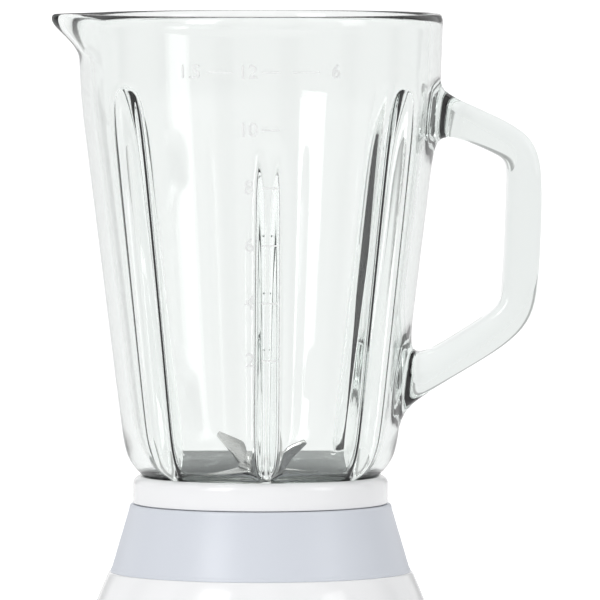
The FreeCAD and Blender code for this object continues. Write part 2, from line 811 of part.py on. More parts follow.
def carrier_bushes():
    inner = blade_shaft_radius + running_gap
    lower = ring(inner, bush_radius, hub_bottom, hub_bottom + 7.5)
    upper = ring(inner, bush_radius, hub_top - 8.5, hub_top - 1.0)
    return group([lower, upper])


def blade_carrier():
    bore = bush_radius + fit_gap
    boss = 12.0
    return lathe(
        (bore, hub_bottom),
        (boss, hub_bottom),
        (boss, carrier_bottom),
        (collar_bore - 0.4, carrier_bottom),
        (collar_bore - 0.4, carrier_top),
        (29.0, carrier_top),
        ((18.0, carrier_top + 2.4), (13.0, carrier_top + 7.0)),
        (11.0, hub_top),
        (bore, hub_top),
    )


def shaft_seal():
    return ring(blade_shaft_radius + running_gap, 7.0, hub_top + fit_gap, hub_top + 2.0)


def blade_spacer():
    return ring(blade_shaft_radius + fit_gap, 6.5, spacer_bottom, spacer_top)


def two_armed_blade(z0, tilt, width):
    """A stamped blade: a washer with two arms bent by tilt degrees, sharpened to a point at the ends."""
    hub = disc(8.5, z0, z0 + blade_thickness)
    hinge = 7.0
    run = (blade_reach - hinge) / math.cos(math.radians(tilt))
    corners = [(hinge, -width / 2), (run * 0.62 + hinge, -width / 2), (run + hinge, width / 2 - 1.5)]
    corners += [(run + hinge - 1.5, width / 2), (hinge, width / 2)]
    outline = Part.makePolygon([V(x, y, z0) for x, y in corners + corners[:1]])
    arm = Part.Face(outline).extrude(V(0, 0, blade_thickness))
    arm.rotate(V(hinge, 0, z0 + blade_thickness / 2), V(0, 1, 0), -tilt)
    return fuse([hub, arm, turned(arm, 180)]).cut(disc(blade_shaft_radius + fit_gap, z0 - 2, z0 + 4))


def lower_blade():
    return turned(two_armed_blade(spacer_top, -16, 10.0), 25)


def upper_blade():
    return turned(two_armed_blade(spacer_top + blade_thickness, 34, 10.0), 115)


def blade_nut():
    z0 = spacer_top + 2 * blade_thickness
    angles = [math.radians(60 * k) for k in range(7)]
    corners = [V(5.8 * math.cos(a), 5.8 * math.sin(a), z0) for a in angles]
    hexagon = Part.Face(Part.makePolygon(corners)).extrude(V(0, 0, 3.0))
    dome = Part.makeSphere(4.6, V(0, 0, z0 + 2.2)).common(disc(6, z0 + 2, z0 + 9))
    return fuse([hexagon, dome]).cut(disc(blade_shaft_radius + fit_gap, z0 - 1, blade_shaft_top + fit_gap))


# ---------------------------------------------------------------- collar, gasket and thread
def thread_lug(root, crest, z):
    """One helical lug from radius root, in its wall, to radius crest. z is its middle at its lower end."""
    reach = lug_height / 2
    section = Part.makePolygon([
        V(root, 0, -reach - 0.25),
        V(crest, 0, -reach + 0.25),
        V(crest, 0, reach - 0.25),
        V(root, 0, reach + 0.25),
        V(root, 0, -reach - 0.25),
    ])
    radius = (root + crest) / 2
    helix = Part.makeHelix(thread_lead, thread_lead * lug_angle / 360, radius)
    lug = Part.Wire(helix.Edges).makePipeShell([section], True, True)
    lug.translate(V(0, 0, z))
    return lug


jar_lug_z = neck_bottom + 2.2
collar_lug_z = jar_lug_z + lug_height + seat_gap + 0.5


def collar():
    top_round = 3.0
    bend = top_round * (1 - math.sqrt(0.5))
    skirt_radius = seat_wall_radius - seat_gap - 0.1
    ledge_inner = collar_bore - 5.8
    body = lathe(
        (ledge_inner, collar_bottom),
        (skirt_radius, collar_bottom),
        (skirt_radius, band_top + seat_gap),
        (collar_radius, band_top + seat_gap),
        (collar_radius, collar_top - top_round),
        ((collar_radius - bend, collar_top - bend), (collar_radius - top_round, collar_top)),
        (collar_radius - top_round - 0.1, collar_top),
        (collar_bore, collar_top - 2.4),
        (collar_bore, carrier_bottom),
        (ledge_inner, carrier_bottom),
    )
    half = key_width / 2 + 0.4
    inner, outer = seat_wall_radius - key_depth - 0.4, seat_wall_radius + 2
    notch = block(inner, outer, -half, half, collar_bottom - 1, seat_floor + key_height + 0.5)
    for piece in around(notch, 4, 45):
        body = body.cut(piece)
    lug = thread_lug(collar_bore + 0.2, collar_bore - 1.8, collar_lug_z)
    return fuse([body] + around(lug, thread_starts))


def jar_gasket():
    return ring(neck_bore + 0.2, neck_radius - 0.2, carrier_top, carrier_top + gasket_height)


# ---------------------------------------------------------------- glass jar
def wall_radius(z):
    """Outer radius of the jar's tapered wall at height z."""
    low, high = collar_top + jar_foot_height, rim_top - jar_band_height
    return jar_foot_radius + (jar_band_radius - jar_foot_radius) * (z - low) / (high - low)


def jar_outside():
    foot = collar_top + jar_foot_height
    rim_round = glass_wall / 2
    shoulder = rim_round * (1 - math.sqrt(0.5))
    return lathe(
        (0, neck_bottom),
        (neck_radius, neck_bottom),
        (neck_radius, collar_top - 3.2),
        (neck_radius + 1.7, collar_top - 1.6),
        ((jar_foot_radius - 3.6, collar_top + 5.6), (jar_foot_radius, foot)),
        (jar_band_radius, rim_top - jar_band_height),
        (jar_rim_radius, rim_top - rim_round),
        ((jar_rim_radius - shoulder, rim_top - shoulder), (jar_rim_radius - rim_round, rim_top)),
        (0, rim_top),
    )


def jar_cavity():
    foot = collar_top + jar_foot_height
    mouth = jar_rim_radius - glass_wall
    rim_round = glass_wall / 2
    shoulder = rim_round * (1 - math.sqrt(0.5))
    return lathe(
        (0, neck_bottom - 1),
        (neck_bore, neck_bottom - 1),
        (neck_bore, collar_top + 0.6),
        ((neck_bore + 1.0, collar_top + 2.2), (neck_bore + 2.6, collar_top + 3.0)),
        ((jar_foot_radius - glass_wall - 2.8, collar_top + 7.6), (jar_foot_radius - glass_wall, foot + 0.6)),
        (jar_band_radius - glass_wall, rim_top - jar_band_height + 0.6),
        (mouth, rim_top - lid_zone_height),
        (mouth, rim_top - rim_round),
        ((mouth + shoulder, rim_top - shoulder), (mouth + rim_round, rim_top)),
        (mouth + rim_round, rim_top + 1),
        (0, rim_top + 1),
    )


def rib(drop):
    """One upright fin on the jar's inner wall at angle 0, rising out of the wall below its top."""
    top = rim_top - drop
    full = top - rib_run_in
    low = collar_top + 1.0
    high_edge = wall_radius(full) - glass_wall - rib_depth_high
    low_edge = max(wall_radius(low) - glass_wall - rib_depth_low, neck_bore - 1.0)
    start = wall_radius(top) - glass_wall + 1.5
    outline = path(
        (start, top + 3.0),
        ((high_edge + rib_depth_high * 0.22, full + rib_run_in * 0.42), (high_edge, full)),
        (low_edge, low),
        (wall_radius(low) - 1, low),
        (wall_radius(top) - 1, top + 3.0),
        (start, top + 3.0),
    )
    fin = Part.Face(Part.Wire(outline)).extrude(V(0, rib_width, 0))
    fin.translate(V(0, -rib_width / 2, 0))
    nose = [e for e in fin.Edges if e.BoundBox.YLength < 0.01 and e.BoundBox.ZLength > 20]
    nose = [e for e in nose if e.CenterOfMass.x < (high_edge + start) / 2 and e.BoundBox.XMax < start + 0.1]
    return fin.makeFillet(rib_width / 2 - 0.15, nose)


def ribs():
    tall = [turned(rib(rib_top_drop), angle) for angle in rib_angles]
    return tall + [turned(rib(front_rib_drop), front_rib_angle)]


def lip_section(tip, base, half_width, tip_radius, z):
    """A rounded V in plan that points along -X, as a closed wire at height z."""
    corner = V(-tip, 0, z)
    left, right = V(-base, half_width, z), V(-base, -half_width, z)
    start, middle, end = corner_arc(left, corner, right, tip_radius)
    return Part.Wire([
        Part.LineSegment(left, start).toShape(),
        Part.Arc(start, middle, end).toShape(),
        Part.LineSegment(end, right).toShape(),
        Part.LineSegment(right, left).toShape(),
    ])


def lip(inset, top):
    """The pouring lip as a solid wedge, or its channel when inset by a wall."""
    reach = jar_rim_radius + lip_reach + 1.6 - inset * 1.35
    edge_z = rim_top - lip_edge
    foot_z = rim_top - lip_drop + inset * 0.7
    sections = [
        lip_section(jar_rim_radius - 1.2 - inset, jar_rim_radius - 16, lip_half_width * 0.42, 3.0, foot_z),
        lip_section(reach, jar_rim_radius - 12, lip_half_width - inset * 0.8, 3.4, edge_z),
    ]
    wedge = Part.makeLoft(sections, True, True)
    cap = Part.Face(sections[1]).extrude(V(0, 0, top - edge_z))
    return fuse([wedge, cap])


def handle():
    """A flat bent bar in the XZ plane: its outline less its finger opening, with rounded edges."""
    top, bottom = rim_top - handle_drop_top, rim_top - handle_drop_bottom
    gap_top, gap_bottom = rim_top - opening_drop_top, rim_top - opening_drop_bottom
    outer = rounded_outline([
        (jar_foot_radius - 12, top, 6.0),
        (handle_reach, top - handle_fall, 21.0),
        (handle_reach - 3.6, bottom + handle_rise, 15.0),
        (jar_foot_radius - 14, bottom, 6.0),
    ])
    opening = rounded_outline([
        (wall_radius(gap_top) - 1.2, gap_top, 5.5),
        (handle_reach - grip_top, gap_top - 9.0, 11.0),
        (handle_reach - grip_bottom, gap_bottom + 21.8, 9.0),
        (wall_radius(gap_bottom) - 1.2, gap_bottom, 6.5),
    ])
    plate = Part.Face(outer).extrude(V(0, handle_width, 0))
    hole = Part.Face(opening).extrude(V(0, handle_width + 2, 0))
    hole.translate(V(0, -1, 0))
    bar = plate.cut(hole)
    bar.translate(V(0, -handle_width / 2, 0))
    flat = [e for e in bar.Edges if e.BoundBox.YLength < 0.01]
    return bar.makeFillet(handle_edge, flat)


def glass_jar():
    whole = fuse([jar_outside(), handle(), lip(0, rim_top - 0.6)])
    hollow = jar_cavity()
    for fin in ribs():
        hollow = hollow.cut(fin)
    whole = whole.cut(hollow).cut(lip(3.4, rim_top + 2))
    lug = thread_lug(neck_radius - 0.2, neck_radius + 1.8, jar_lug_z)
    return fuse([whole] + around(lug, thread_starts))


# ---------------------------------------------------------------- all pieces
NODES = {
    "foot_ring": foot_ring,
    "bottom_cover": bottom_cover,
    "cover_screws": cover_screws,
    "base_housing": base_housing,
    "trim_band": trim_band,
    "jar_seat": jar_seat,
    "seat_screws": seat_screws,
    "cord_inlet": cord_inlet,
    "terminal_block": terminal_block,
    "dial_plate": dial_plate,
    "control_knob": control_knob,
    "knob_pointer": knob_pointer,
    "switch_shaft": switch_shaft,
    "speed_switch": speed_switch,
    "interlock_pin": interlock_pin,
    "interlock_spring": interlock_spring,
    "interlock_switch": interlock_switch,
    "circuit_board": circuit_board,
    "board_screws": board_screws,
    "suppression_capacitor": suppression_capacitor,
    "rectifier_diodes": rectifier_diodes,
    "stator_core": stator_core,
    "field_coils": field_coils,
    "upper_bracket": upper_bracket,
    "upper_bearing": upper_bearing,
    "lower_bracket": lower_bracket,
    "lower_bearing": lower_bearing,
    "bracket_bolts": bracket_bolts,
    "mount_grommets": mount_grommets,
    "mount_screws": mount_screws,
    "brush_holders": brush_holders,
    "carbon_brushes": carbon_brushes,
    "brush_springs": brush_springs,
    "motor_shaft": motor_shaft,
    "armature_core": armature_core,
    "armature_windings": armature_windings,
    "commutator": commutator,
    "cooling_fan": cooling_fan,
    "drive_coupling": drive_coupling,
    "driven_coupling": driven_coupling,
    "blade_shaft": blade_shaft,
    "carrier_bushes": carrier_bushes,
    "blade_carrier": blade_carrier,
    "shaft_seal": shaft_seal,
    "blade_spacer": blade_spacer,
    "lower_blade": lower_blade,
    "upper_blade": upper_blade,
    "blade_nut": blade_nut,
    "collar": collar,
    "jar_gasket": jar_gasket,
    "glass_jar": glass_jar,
}


def main():
    os.makedirs("parts", exist_ok=True)
    for name, make in NODES.items():
        shape = make()
        solids = shape.Solids
        volume = sum(s.Volume for s in solids)
        print(f"{name}: {len(solids)} solid(s), {volume / 1000:.2f} cm3, valid {shape.isValid()}")
        shape.exportStep(f"parts/{name}.step")


main()
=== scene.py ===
import json
import math
import bpy
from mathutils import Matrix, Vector

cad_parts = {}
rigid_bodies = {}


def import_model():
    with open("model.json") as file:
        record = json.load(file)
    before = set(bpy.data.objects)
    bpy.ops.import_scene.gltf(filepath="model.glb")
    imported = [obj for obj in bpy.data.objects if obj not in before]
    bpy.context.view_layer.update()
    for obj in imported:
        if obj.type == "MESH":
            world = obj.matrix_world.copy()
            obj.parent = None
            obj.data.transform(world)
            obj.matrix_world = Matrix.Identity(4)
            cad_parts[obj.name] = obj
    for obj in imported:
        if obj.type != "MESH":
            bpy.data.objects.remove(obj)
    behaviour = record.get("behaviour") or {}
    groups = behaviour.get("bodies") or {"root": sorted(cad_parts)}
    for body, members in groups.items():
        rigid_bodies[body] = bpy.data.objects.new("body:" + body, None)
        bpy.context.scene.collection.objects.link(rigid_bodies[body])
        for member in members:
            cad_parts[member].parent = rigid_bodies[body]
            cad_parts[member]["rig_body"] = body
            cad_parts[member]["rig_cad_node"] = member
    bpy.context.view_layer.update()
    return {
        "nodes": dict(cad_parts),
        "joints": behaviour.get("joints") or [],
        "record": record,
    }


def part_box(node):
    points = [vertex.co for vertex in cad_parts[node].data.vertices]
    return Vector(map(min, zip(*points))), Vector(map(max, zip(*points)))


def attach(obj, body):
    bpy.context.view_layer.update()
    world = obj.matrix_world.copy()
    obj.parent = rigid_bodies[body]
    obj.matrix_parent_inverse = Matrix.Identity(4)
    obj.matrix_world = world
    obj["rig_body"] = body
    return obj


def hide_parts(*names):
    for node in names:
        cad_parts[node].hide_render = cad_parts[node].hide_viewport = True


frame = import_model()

mm = 0.001


view = {
    "azimuth": -3.0,        # degrees, towards the lip
    "distance": 3.58,
    "eyeHeight": 0.412,
    "aimRight": 0.0149,     # the object stands a little left of the middle
    "aimHeight": 0.2324,
    "lens": 570.0,
}

studio = {
    "skyWhite": 0.95,
    "roomLight": 0.86,      # share of the sky that lights matt surfaces
    "stripeGrey": 0.44,
    "stripeCount": 8,
    "floorSize": 80.0,
    "floorGlow": 0.31,      # added to the light that falls on the floor
    "floorShine": 0.33,     # more of it where the camera sees the floor
    "keyPower": 15.0,
    "fillPower": 5.0,
}


def setCamera():
    turn = math.radians(view["azimuth"])
    right = Vector((math.cos(turn), math.sin(turn), 0))
    forward = Vector((-math.sin(turn), math.cos(turn), 0))
    aim = right * view["aimRight"] + Vector((0, 0, view["aimHeight"]))
    eye = aim - forward * view["distance"]
    eye.z = view["eyeHeight"]
    bpy.ops.object.camera_add(location=eye, rotation=(aim - eye).to_track_quat("-Z", "Y").to_euler())
    camera = bpy.context.object
    camera.name = "camera"
    camera.data.lens = view["lens"]
    camera.data.clip_end = 120
    bpy.context.scene.camera = camera


def addSoftbox(name, place, aimAt, size, power):
    direction = Vector(aimAt) - Vector(place)
    facing = direction.to_track_quat("-Z", "Y").to_euler()
    bpy.ops.object.light_add(type="AREA", location=place, rotation=facing)
    box = bpy.context.object
    box.name = name
    box.data.shape = "RECTANGLE"
    box.data.size, box.data.size_y = size
    box.data.energy = power


def lightStudio():
    middle = (0, 0, 0.2)
    addSoftbox("keySoftbox", (-1.3, -1.5, 1.2), middle, (0.7, 1.3), studio["keyPower"])
    addSoftbox("fillSoftbox", (1.6, -1.0, 0.9), middle, (0.6, 1.2), studio["fillPower"])
    scene = bpy.context.scene
    scene.view_settings.view_transform = "Standard"
    world = bpy.data.worlds.new("studioWorld")
    scene.world = world
    world.use_nodes = True
    nodes, links = world.node_tree.nodes, world.node_tree.links
    nodes.clear()
    out = nodes.new("ShaderNodeOutputWorld")
    spot = nodes.new("ShaderNodeTexCoord")
    split = nodes.new("ShaderNodeSeparateXYZ")
    links.new(spot.outputs["Generated"], split.inputs[0])
    angle = nodes.new("ShaderNodeMath")     # dark cards stand between the bright walls all round
    angle.operation = "ARCTAN2"
    links.new(split.outputs["Y"], angle.inputs[0])
    links.new(split.outputs["X"], angle.inputs[1])
    times = nodes.new("ShaderNodeMath")
    times.operation = "MULTIPLY"
    times.inputs[1].default_value = studio["stripeCount"]
    links.new(angle.outputs[0], times.inputs[0])
    wave = nodes.new("ShaderNodeMath")
    wave.operation = "COSINE"
    links.new(times.outputs[0], wave.inputs[0])
    ramp = nodes.new("ShaderNodeValToRGB")
    ramp.color_ramp.elements[0].position = 0.10
    ramp.color_ramp.elements[0].color = (studio["stripeGrey"],) * 3 + (1,)
    ramp.color_ramp.elements[1].position = 0.34
    ramp.color_ramp.elements[1].color = (studio["skyWhite"],) * 3 + (1,)
    half = nodes.new("ShaderNodeMath")
    half.operation = "MULTIPLY_ADD"
    half.inputs[1].default_value = 0.5
    half.inputs[2].default_value = 0.5
    links.new(wave.outputs[0], half.inputs[0])
    links.new(half.outputs[0], ramp.inputs[0])
    light = nodes.new("ShaderNodeBackground")
    links.new(ramp.outputs[0], light.inputs["Color"])
    path = nodes.new("ShaderNodeLightPath")
    dimmer = nodes.new("ShaderNodeMapRange")
    dimmer.inputs["To Min"].default_value = 1.0
    dimmer.inputs["To Max"].default_value = studio["roomLight"]
    links.new(path.outputs["Is Diffuse Ray"], dimmer.inputs["Value"])
    links.new(dimmer.outputs["Result"], light.inputs["Strength"])
    backdrop = nodes.new("ShaderNodeBackground")
    backdrop.inputs["Color"].default_value = (1, 1, 1, 1)
    backdrop.inputs["Strength"].default_value = 1.0
    mix = nodes.new("ShaderNodeMixShader")
    links.new(path.outputs["Is Camera Ray"], mix.inputs[0])
    links.new(light.outputs[0], mix.inputs[1])
    links.new(backdrop.outputs[0], mix.inputs[2])
    links.new(mix.outputs[0], out.inputs[0])


def layFloor():
    bpy.ops.mesh.primitive_plane_add(size=studio["floorSize"], location=(0, 0, 0))
    floor = bpy.context.object
    floor.name = "floor"
    paint = bpy.data.materials.new("floorPaint")
    paint.use_nodes = True
    shader = paint.node_tree.nodes["Principled BSDF"]
    shader.inputs["Base Color"].default_value = (0.88, 0.88, 0.885, 1)
    shader.inputs["Roughness"].default_value = 0.7
    shader.inputs["Emission Color"].default_value = (1, 1, 1, 1)
    tree = paint.node_tree
    path = addNode(tree, "ShaderNodeLightPath")
    glow = addNode(tree, "ShaderNodeMapRange")      # a white floor that doesn't light the object from below
    glow.inputs["To Min"].default_value = studio["floorGlow"]
    glow.inputs["To Max"].default_value = 0.0
    shine = addNode(tree, "ShaderNodeMath", operation="MULTIPLY_ADD")
    shine.inputs[1].default_value = studio["floorShine"]
    tree.links.new(path.outputs["Is Diffuse Ray"], glow.inputs["Value"])
    tree.links.new(path.outputs["Is Camera Ray"], shine.inputs[0])
    tree.links.new(glow.outputs["Result"], shine.inputs[2])
    tree.links.new(shine.outputs[0], shader.inputs["Emission Strength"])
    floor.data.materials.append(paint)


def deselectAll():
    if bpy.context.mode != "OBJECT":
        bpy.ops.object.mode_set(mode="OBJECT")
    bpy.ops.object.select_all(action="DESELECT")


def makeActive(piece):
    deselectAll()
    piece.select_set(True)
    bpy.context.view_layer.objects.active = piece


def applyPlace():
    bpy.ops.object.transform_apply(location=True, rotation=True, scale=True)


# Edit mode with the vertices or faces for which test(centre) holds selected.
def editSelection(piece, mode, test):
    if bpy.context.mode != "OBJECT":
        bpy.ops.object.mode_set(mode="OBJECT")
    makeActive(piece)
    bpy.ops.object.mode_set(mode="EDIT")
    bpy.ops.mesh.select_mode(type=mode)
    bpy.ops.mesh.select_all(action="DESELECT")
    bpy.ops.object.mode_set(mode="OBJECT")
    if mode == "VERT":
        for v in piece.data.vertices:
            v.select = bool(test(v.co))
    else:
        for f in piece.data.polygons:
            f.select = bool(test(f.center, f.normal))
    bpy.ops.object.mode_set(mode="EDIT")


def leaveEdit():
    bpy.ops.object.mode_set(mode="OBJECT")


def cleanUp(piece, gap=1e-6):
    makeActive(piece)
    bpy.ops.object.mode_set(mode="EDIT")
    bpy.ops.mesh.select_all(action="SELECT")
    bpy.ops.mesh.remove_doubles(threshold=gap)
    bpy.ops.mesh.normals_make_consistent(inside=False)
    bpy.ops.object.mode_set(mode="OBJECT")


# A circle drawn out ring by ring along outline, a list of (radius, height). Radius 0 closes it in a pole.
def lathe(name, outline, sides, turn=0.0, closed=True):
    startsAtPole = outline[0][0] == 0
    rings = outline[1:] if startsAtPole else list(outline)
    radius, height = rings[0]
    deselectAll()
    start = (0, 0, height)
    bpy.ops.mesh.primitive_circle_add(vertices=sides, radius=radius, location=start, rotation=(0, 0, turn))
    applyPlace()
    piece = bpy.context.object
    piece.name = name
    bpy.ops.object.mode_set(mode="EDIT")
    bpy.ops.mesh.select_all(action="SELECT")
    for nextRadius, nextHeight in rings[1:] + ([rings[0]] if closed else []):
        bpy.ops.mesh.extrude_region_move(TRANSFORM_OT_translate={"value": (0, 0, nextHeight - height)})
        grow = nextRadius / radius
        bpy.ops.transform.resize(value=(grow, grow, 1), center_override=(0, 0, nextHeight))
        radius, height = nextRadius, nextHeight
    if startsAtPole:
        first = rings[0]

        def onFirstRing(point):
            return abs(point.z - first[1]) < 1e-7 and abs(math.hypot(point.x, point.y) - first[0]) < 1e-6

        editSelection(piece, "VERT", onFirstRing)
        bpy.ops.mesh.extrude_region_move(TRANSFORM_OT_translate={"value": (0, 0, outline[0][1] - first[1])})
        bpy.ops.transform.resize(value=(0, 0, 1), center_override=(0, 0, outline[0][1]))
    leaveEdit()
    cleanUp(piece)
    return piece


def finishModifiers(piece):
    makeActive(piece)
    for modifier in list(piece.modifiers):
        bpy.ops.object.modifier_apply(modifier=modifier.name)


def roundEdges(piece, width, segments=3, angle=30):
    bevel = piece.modifiers.new("roundedEdges", "BEVEL")
    bevel.width = width
    bevel.segments = segments
    bevel.limit_method = "ANGLE"
    bevel.angle_limit = math.radians(angle)
    bevel.harden_normals = False
    finishModifiers(piece)


def subdivide(piece, levels):
    surface = piece.modifiers.new("smoothSurface", "SUBSURF")
    surface.levels = levels
    surface.render_levels = levels
    finishModifiers(piece)


def shadeSmooth(piece, angle=40):
    makeActive(piece)
    bpy.ops.object.shade_smooth_by_angle(angle=math.radians(angle))


def placePiece(piece, body, slot, material, *replaced):
    piece.data.materials.clear()
    piece.data.materials.append(material)
    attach(piece, body)
    if replaced:
        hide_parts(*replaced)


def addNode(tree, kind, **values):
    node = tree.nodes.new(kind)
    for key, value in values.items():
        if key in node.inputs:
            node.inputs[key].default_value = value
        else:
            setattr(node, key, value)
    return node


# Fine moulded grain: a height for bump, and a roughness that wanders about its mean.
def makeGrainGroup():
    group = bpy.data.node_groups.new("mouldedGrain", "ShaderNodeTree")
    defaults = {"grainScale": 900.0, "patchScale": 14.0, "roughness": 0.3, "variation": 0.08}
    for name, default in defaults.items():
        socket = group.interface.new_socket(name, in_out="INPUT", socket_type="NodeSocketFloat")
        socket.default_value = default
    for name in ("height", "roughness"):
        group.interface.new_socket(name, in_out="OUTPUT", socket_type="NodeSocketFloat")
    inside = addNode(group, "NodeGroupInput")
    outside = addNode(group, "NodeGroupOutput")
    place = addNode(group, "ShaderNodeTexCoord")
    grain = addNode(group, "ShaderNodeTexNoise", Detail=3.0, Roughness=0.6)
    patches = addNode(group, "ShaderNodeTexNoise", Detail=2.0, Roughness=0.5)
    spread = addNode(group, "ShaderNodeMath", operation="SUBTRACT")
    spread.inputs[1].default_value = 0.5
    scaled = addNode(group, "ShaderNodeMath", operation="MULTIPLY")
    total = addNode(group, "ShaderNodeMath", operation="ADD")
    group.links.new(place.outputs["Object"], grain.inputs["Vector"])
    group.links.new(place.outputs["Object"], patches.inputs["Vector"])
    group.links.new(inside.outputs["grainScale"], grain.inputs["Scale"])
    group.links.new(inside.outputs["patchScale"], patches.inputs["Scale"])
    group.links.new(patches.outputs["Fac"], spread.inputs[0])
    group.links.new(spread.outputs[0], scaled.inputs[0])
    group.links.new(inside.outputs["variation"], scaled.inputs[1])
    group.links.new(scaled.outputs[0], total.inputs[0])
    group.links.new(inside.outputs["roughness"], total.inputs[1])
    group.links.new(grain.outputs["Fac"], outside.inputs["height"])
    group.links.new(total.outputs[0], outside.inputs["roughness"])
    return group


def newMaterial(name):
    material = bpy.data.materials.new(name)
    material.use_nodes = True
    return material, material.node_tree, material.node_tree.nodes["Principled BSDF"]


# Moulded plastic with grain, uneven gloss and a colour that drifts very slightly.
def makePlastic(name, color, roughness, grain=700.0, bump=0.02, variation=0.06, coat=0.0, tint=0.02):
    material, tree, shader = newMaterial(name)
    cell = addNode(tree, "ShaderNodeGroup", node_tree=grainGroup)
    cell.inputs["grainScale"].default_value = grain
    cell.inputs["roughness"].default_value = roughness
    cell.inputs["variation"].default_value = variation
    dent = addNode(tree, "ShaderNodeBump", Strength=bump, Distance=0.0004)
    place = addNode(tree, "ShaderNodeTexCoord")
    drift = addNode(tree, "ShaderNodeTexNoise", Scale=9.0, Detail=2.0)
    mix = addNode(tree, "ShaderNodeMix", data_type="RGBA")
    mix.inputs["A"].default_value = (*color, 1)
    mix.inputs["B"].default_value = (*[max(0.0, c - tint) for c in color], 1)
    tree.links.new(place.outputs["Object"], drift.inputs["Vector"])
    tree.links.new(drift.outputs["Fac"], mix.inputs["Factor"])
    tree.links.new(mix.outputs["Result"], shader.inputs["Base Color"])
    tree.links.new(cell.outputs["roughness"], shader.inputs["Roughness"])
    tree.links.new(cell.outputs["height"], dent.inputs["Height"])
    tree.links.new(dent.outputs["Normal"], shader.inputs["Normal"])
    shader.inputs["Coat Weight"].default_value = coat
    return material


# Metal with brushing or casting grain: stretch lengthens the grain along an axis.
def makeMetal(name, color, roughness, stretch=(1, 1, 1), scale=400.0, bump=0.05, variation=0.15):
    material, tree, shader = newMaterial(name)
    place = addNode(tree, "ShaderNodeTexCoord")
    lay = addNode(tree, "ShaderNodeMapping")
    lay.inputs["Scale"].default_value = stretch
    grain = addNode(tree, "ShaderNodeTexNoise", Scale=scale, Detail=4.0)
    ramp = addNode(tree, "ShaderNodeMapRange")
    ramp.inputs["To Min"].default_value = max(0.02, roughness - variation / 2)
    ramp.inputs["To Max"].default_value = roughness + variation / 2
    dent = addNode(tree, "ShaderNodeBump", Strength=bump, Distance=0.0003)
    tree.links.new(place.outputs["Object"], lay.inputs["Vector"])
    tree.links.new(lay.outputs["Vector"], grain.inputs["Vector"])
    tree.links.new(grain.outputs["Fac"], ramp.inputs["Value"])
    tree.links.new(ramp.outputs["Result"], shader.inputs["Roughness"])
    tree.links.new(grain.outputs["Fac"], dent.inputs["Height"])
    tree.links.new(dent.outputs["Normal"], shader.inputs["Normal"])
    shader.inputs["Base Color"].default_value = (*color, 1)
    shader.inputs["Metallic"].default_value = 1.0
    return material


# Clear pressed glass: slow waves in the surface, green only where the light goes a long way through.
def makeJarGlass():
    material, tree, shader = newMaterial("jarGlass")
    shader.inputs["Base Color"].default_value = (0.985, 0.995, 0.988, 1)
    shader.inputs["Roughness"].default_value = 0.0
    shader.inputs["IOR"].default_value = 1.5
    shader.inputs["Transmission Weight"].default_value = 1.0
    place = addNode(tree, "ShaderNodeTexCoord")
    lay = addNode(tree, "ShaderNodeMapping")
    lay.inputs["Scale"].default_value = (1, 1, 0.35)
    waves = addNode(tree, "ShaderNodeTexNoise", Scale=22.0, Detail=1.0)
    dent = addNode(tree, "ShaderNodeBump", Strength=0.12, Distance=0.0006)
    tree.links.new(place.outputs["Object"], lay.inputs["Vector"])
    tree.links.new(lay.outputs["Vector"], waves.inputs["Vector"])
    tree.links.new(waves.outputs["Fac"], dent.inputs["Height"])
    tree.links.new(dent.outputs["Normal"], shader.inputs["Normal"])
    absorb = addNode(tree, "ShaderNodeVolumeAbsorption")
    absorb.inputs["Color"].default_value = (0.82, 0.86, 0.845, 1)
    absorb.inputs["Density"].default_value = 34.0
    out = tree.nodes["Material Output"]
    tree.links.new(absorb.outputs["Volume"], out.inputs["Volume"])
    return material


def makeFrostedGlass():
    material, tree, shader = newMaterial("raisedScaleGlass")
    shader.inputs["Base Color"].default_value = (0.97, 0.98, 0.975, 1)
    shader.inputs["IOR"].default_value = 1.5
    shader.inputs["Transmission Weight"].default_value = 0.25
    cell = addNode(tree, "ShaderNodeGroup", node_tree=grainGroup)
    cell.inputs["grainScale"].default_value = 1800.0
    cell.inputs["roughness"].default_value = 0.28
    dent = addNode(tree, "ShaderNodeBump", Strength=0.2, Distance=0.0003)
    tree.links.new(cell.outputs["roughness"], shader.inputs["Roughness"])
    tree.links.new(cell.outputs["height"], dent.inputs["Height"])
    tree.links.new(dent.outputs["Normal"], shader.inputs["Normal"])
    return material


# lines across an axis, as on wound wire or stacked sheets: colour and height alternate once a pitch
def makeLayered(name, light, dark, pitch, metallic, roughness, axis="Z", bump=0.4):
    material, tree, shader = newMaterial(name)
    place = addNode(tree, "ShaderNodeTexCoord")
    lay = addNode(tree, "ShaderNodeMapping")
    wave = addNode(tree, "ShaderNodeTexWave", bands_direction=axis, Distortion=0.6, Detail=1.0)
    wave.inputs["Scale"].default_value = math.pi / 10 / pitch    # the wave repeats every 0.314 / scale
    wave.inputs["Detail Scale"].default_value = 2.0
    mix = addNode(tree, "ShaderNodeMix", data_type="RGBA")
    mix.inputs["A"].default_value = (*dark, 1)
    mix.inputs["B"].default_value = (*light, 1)
    gloss = addNode(tree, "ShaderNodeMapRange")
    gloss.inputs["To Min"].default_value = roughness + 0.12
    gloss.inputs["To Max"].default_value = roughness
    dent = addNode(tree, "ShaderNodeBump", Strength=bump, Distance=pitch / 2)
    tree.links.new(place.outputs["Object"], lay.inputs["Vector"])
    tree.links.new(lay.outputs["Vector"], wave.inputs["Vector"])
    tree.links.new(wave.outputs["Fac"], mix.inputs["Factor"])
    tree.links.new(mix.outputs["Result"], shader.inputs["Base Color"])
    tree.links.new(wave.outputs["Fac"], gloss.inputs["Value"])
    tree.links.new(gloss.outputs["Result"], shader.inputs["Roughness"])
    tree.links.new(wave.outputs["Fac"], dent.inputs["Height"])
    tree.links.new(dent.outputs["Normal"], shader.inputs["Normal"])
    shader.inputs["Metallic"].default_value = metallic
    return material


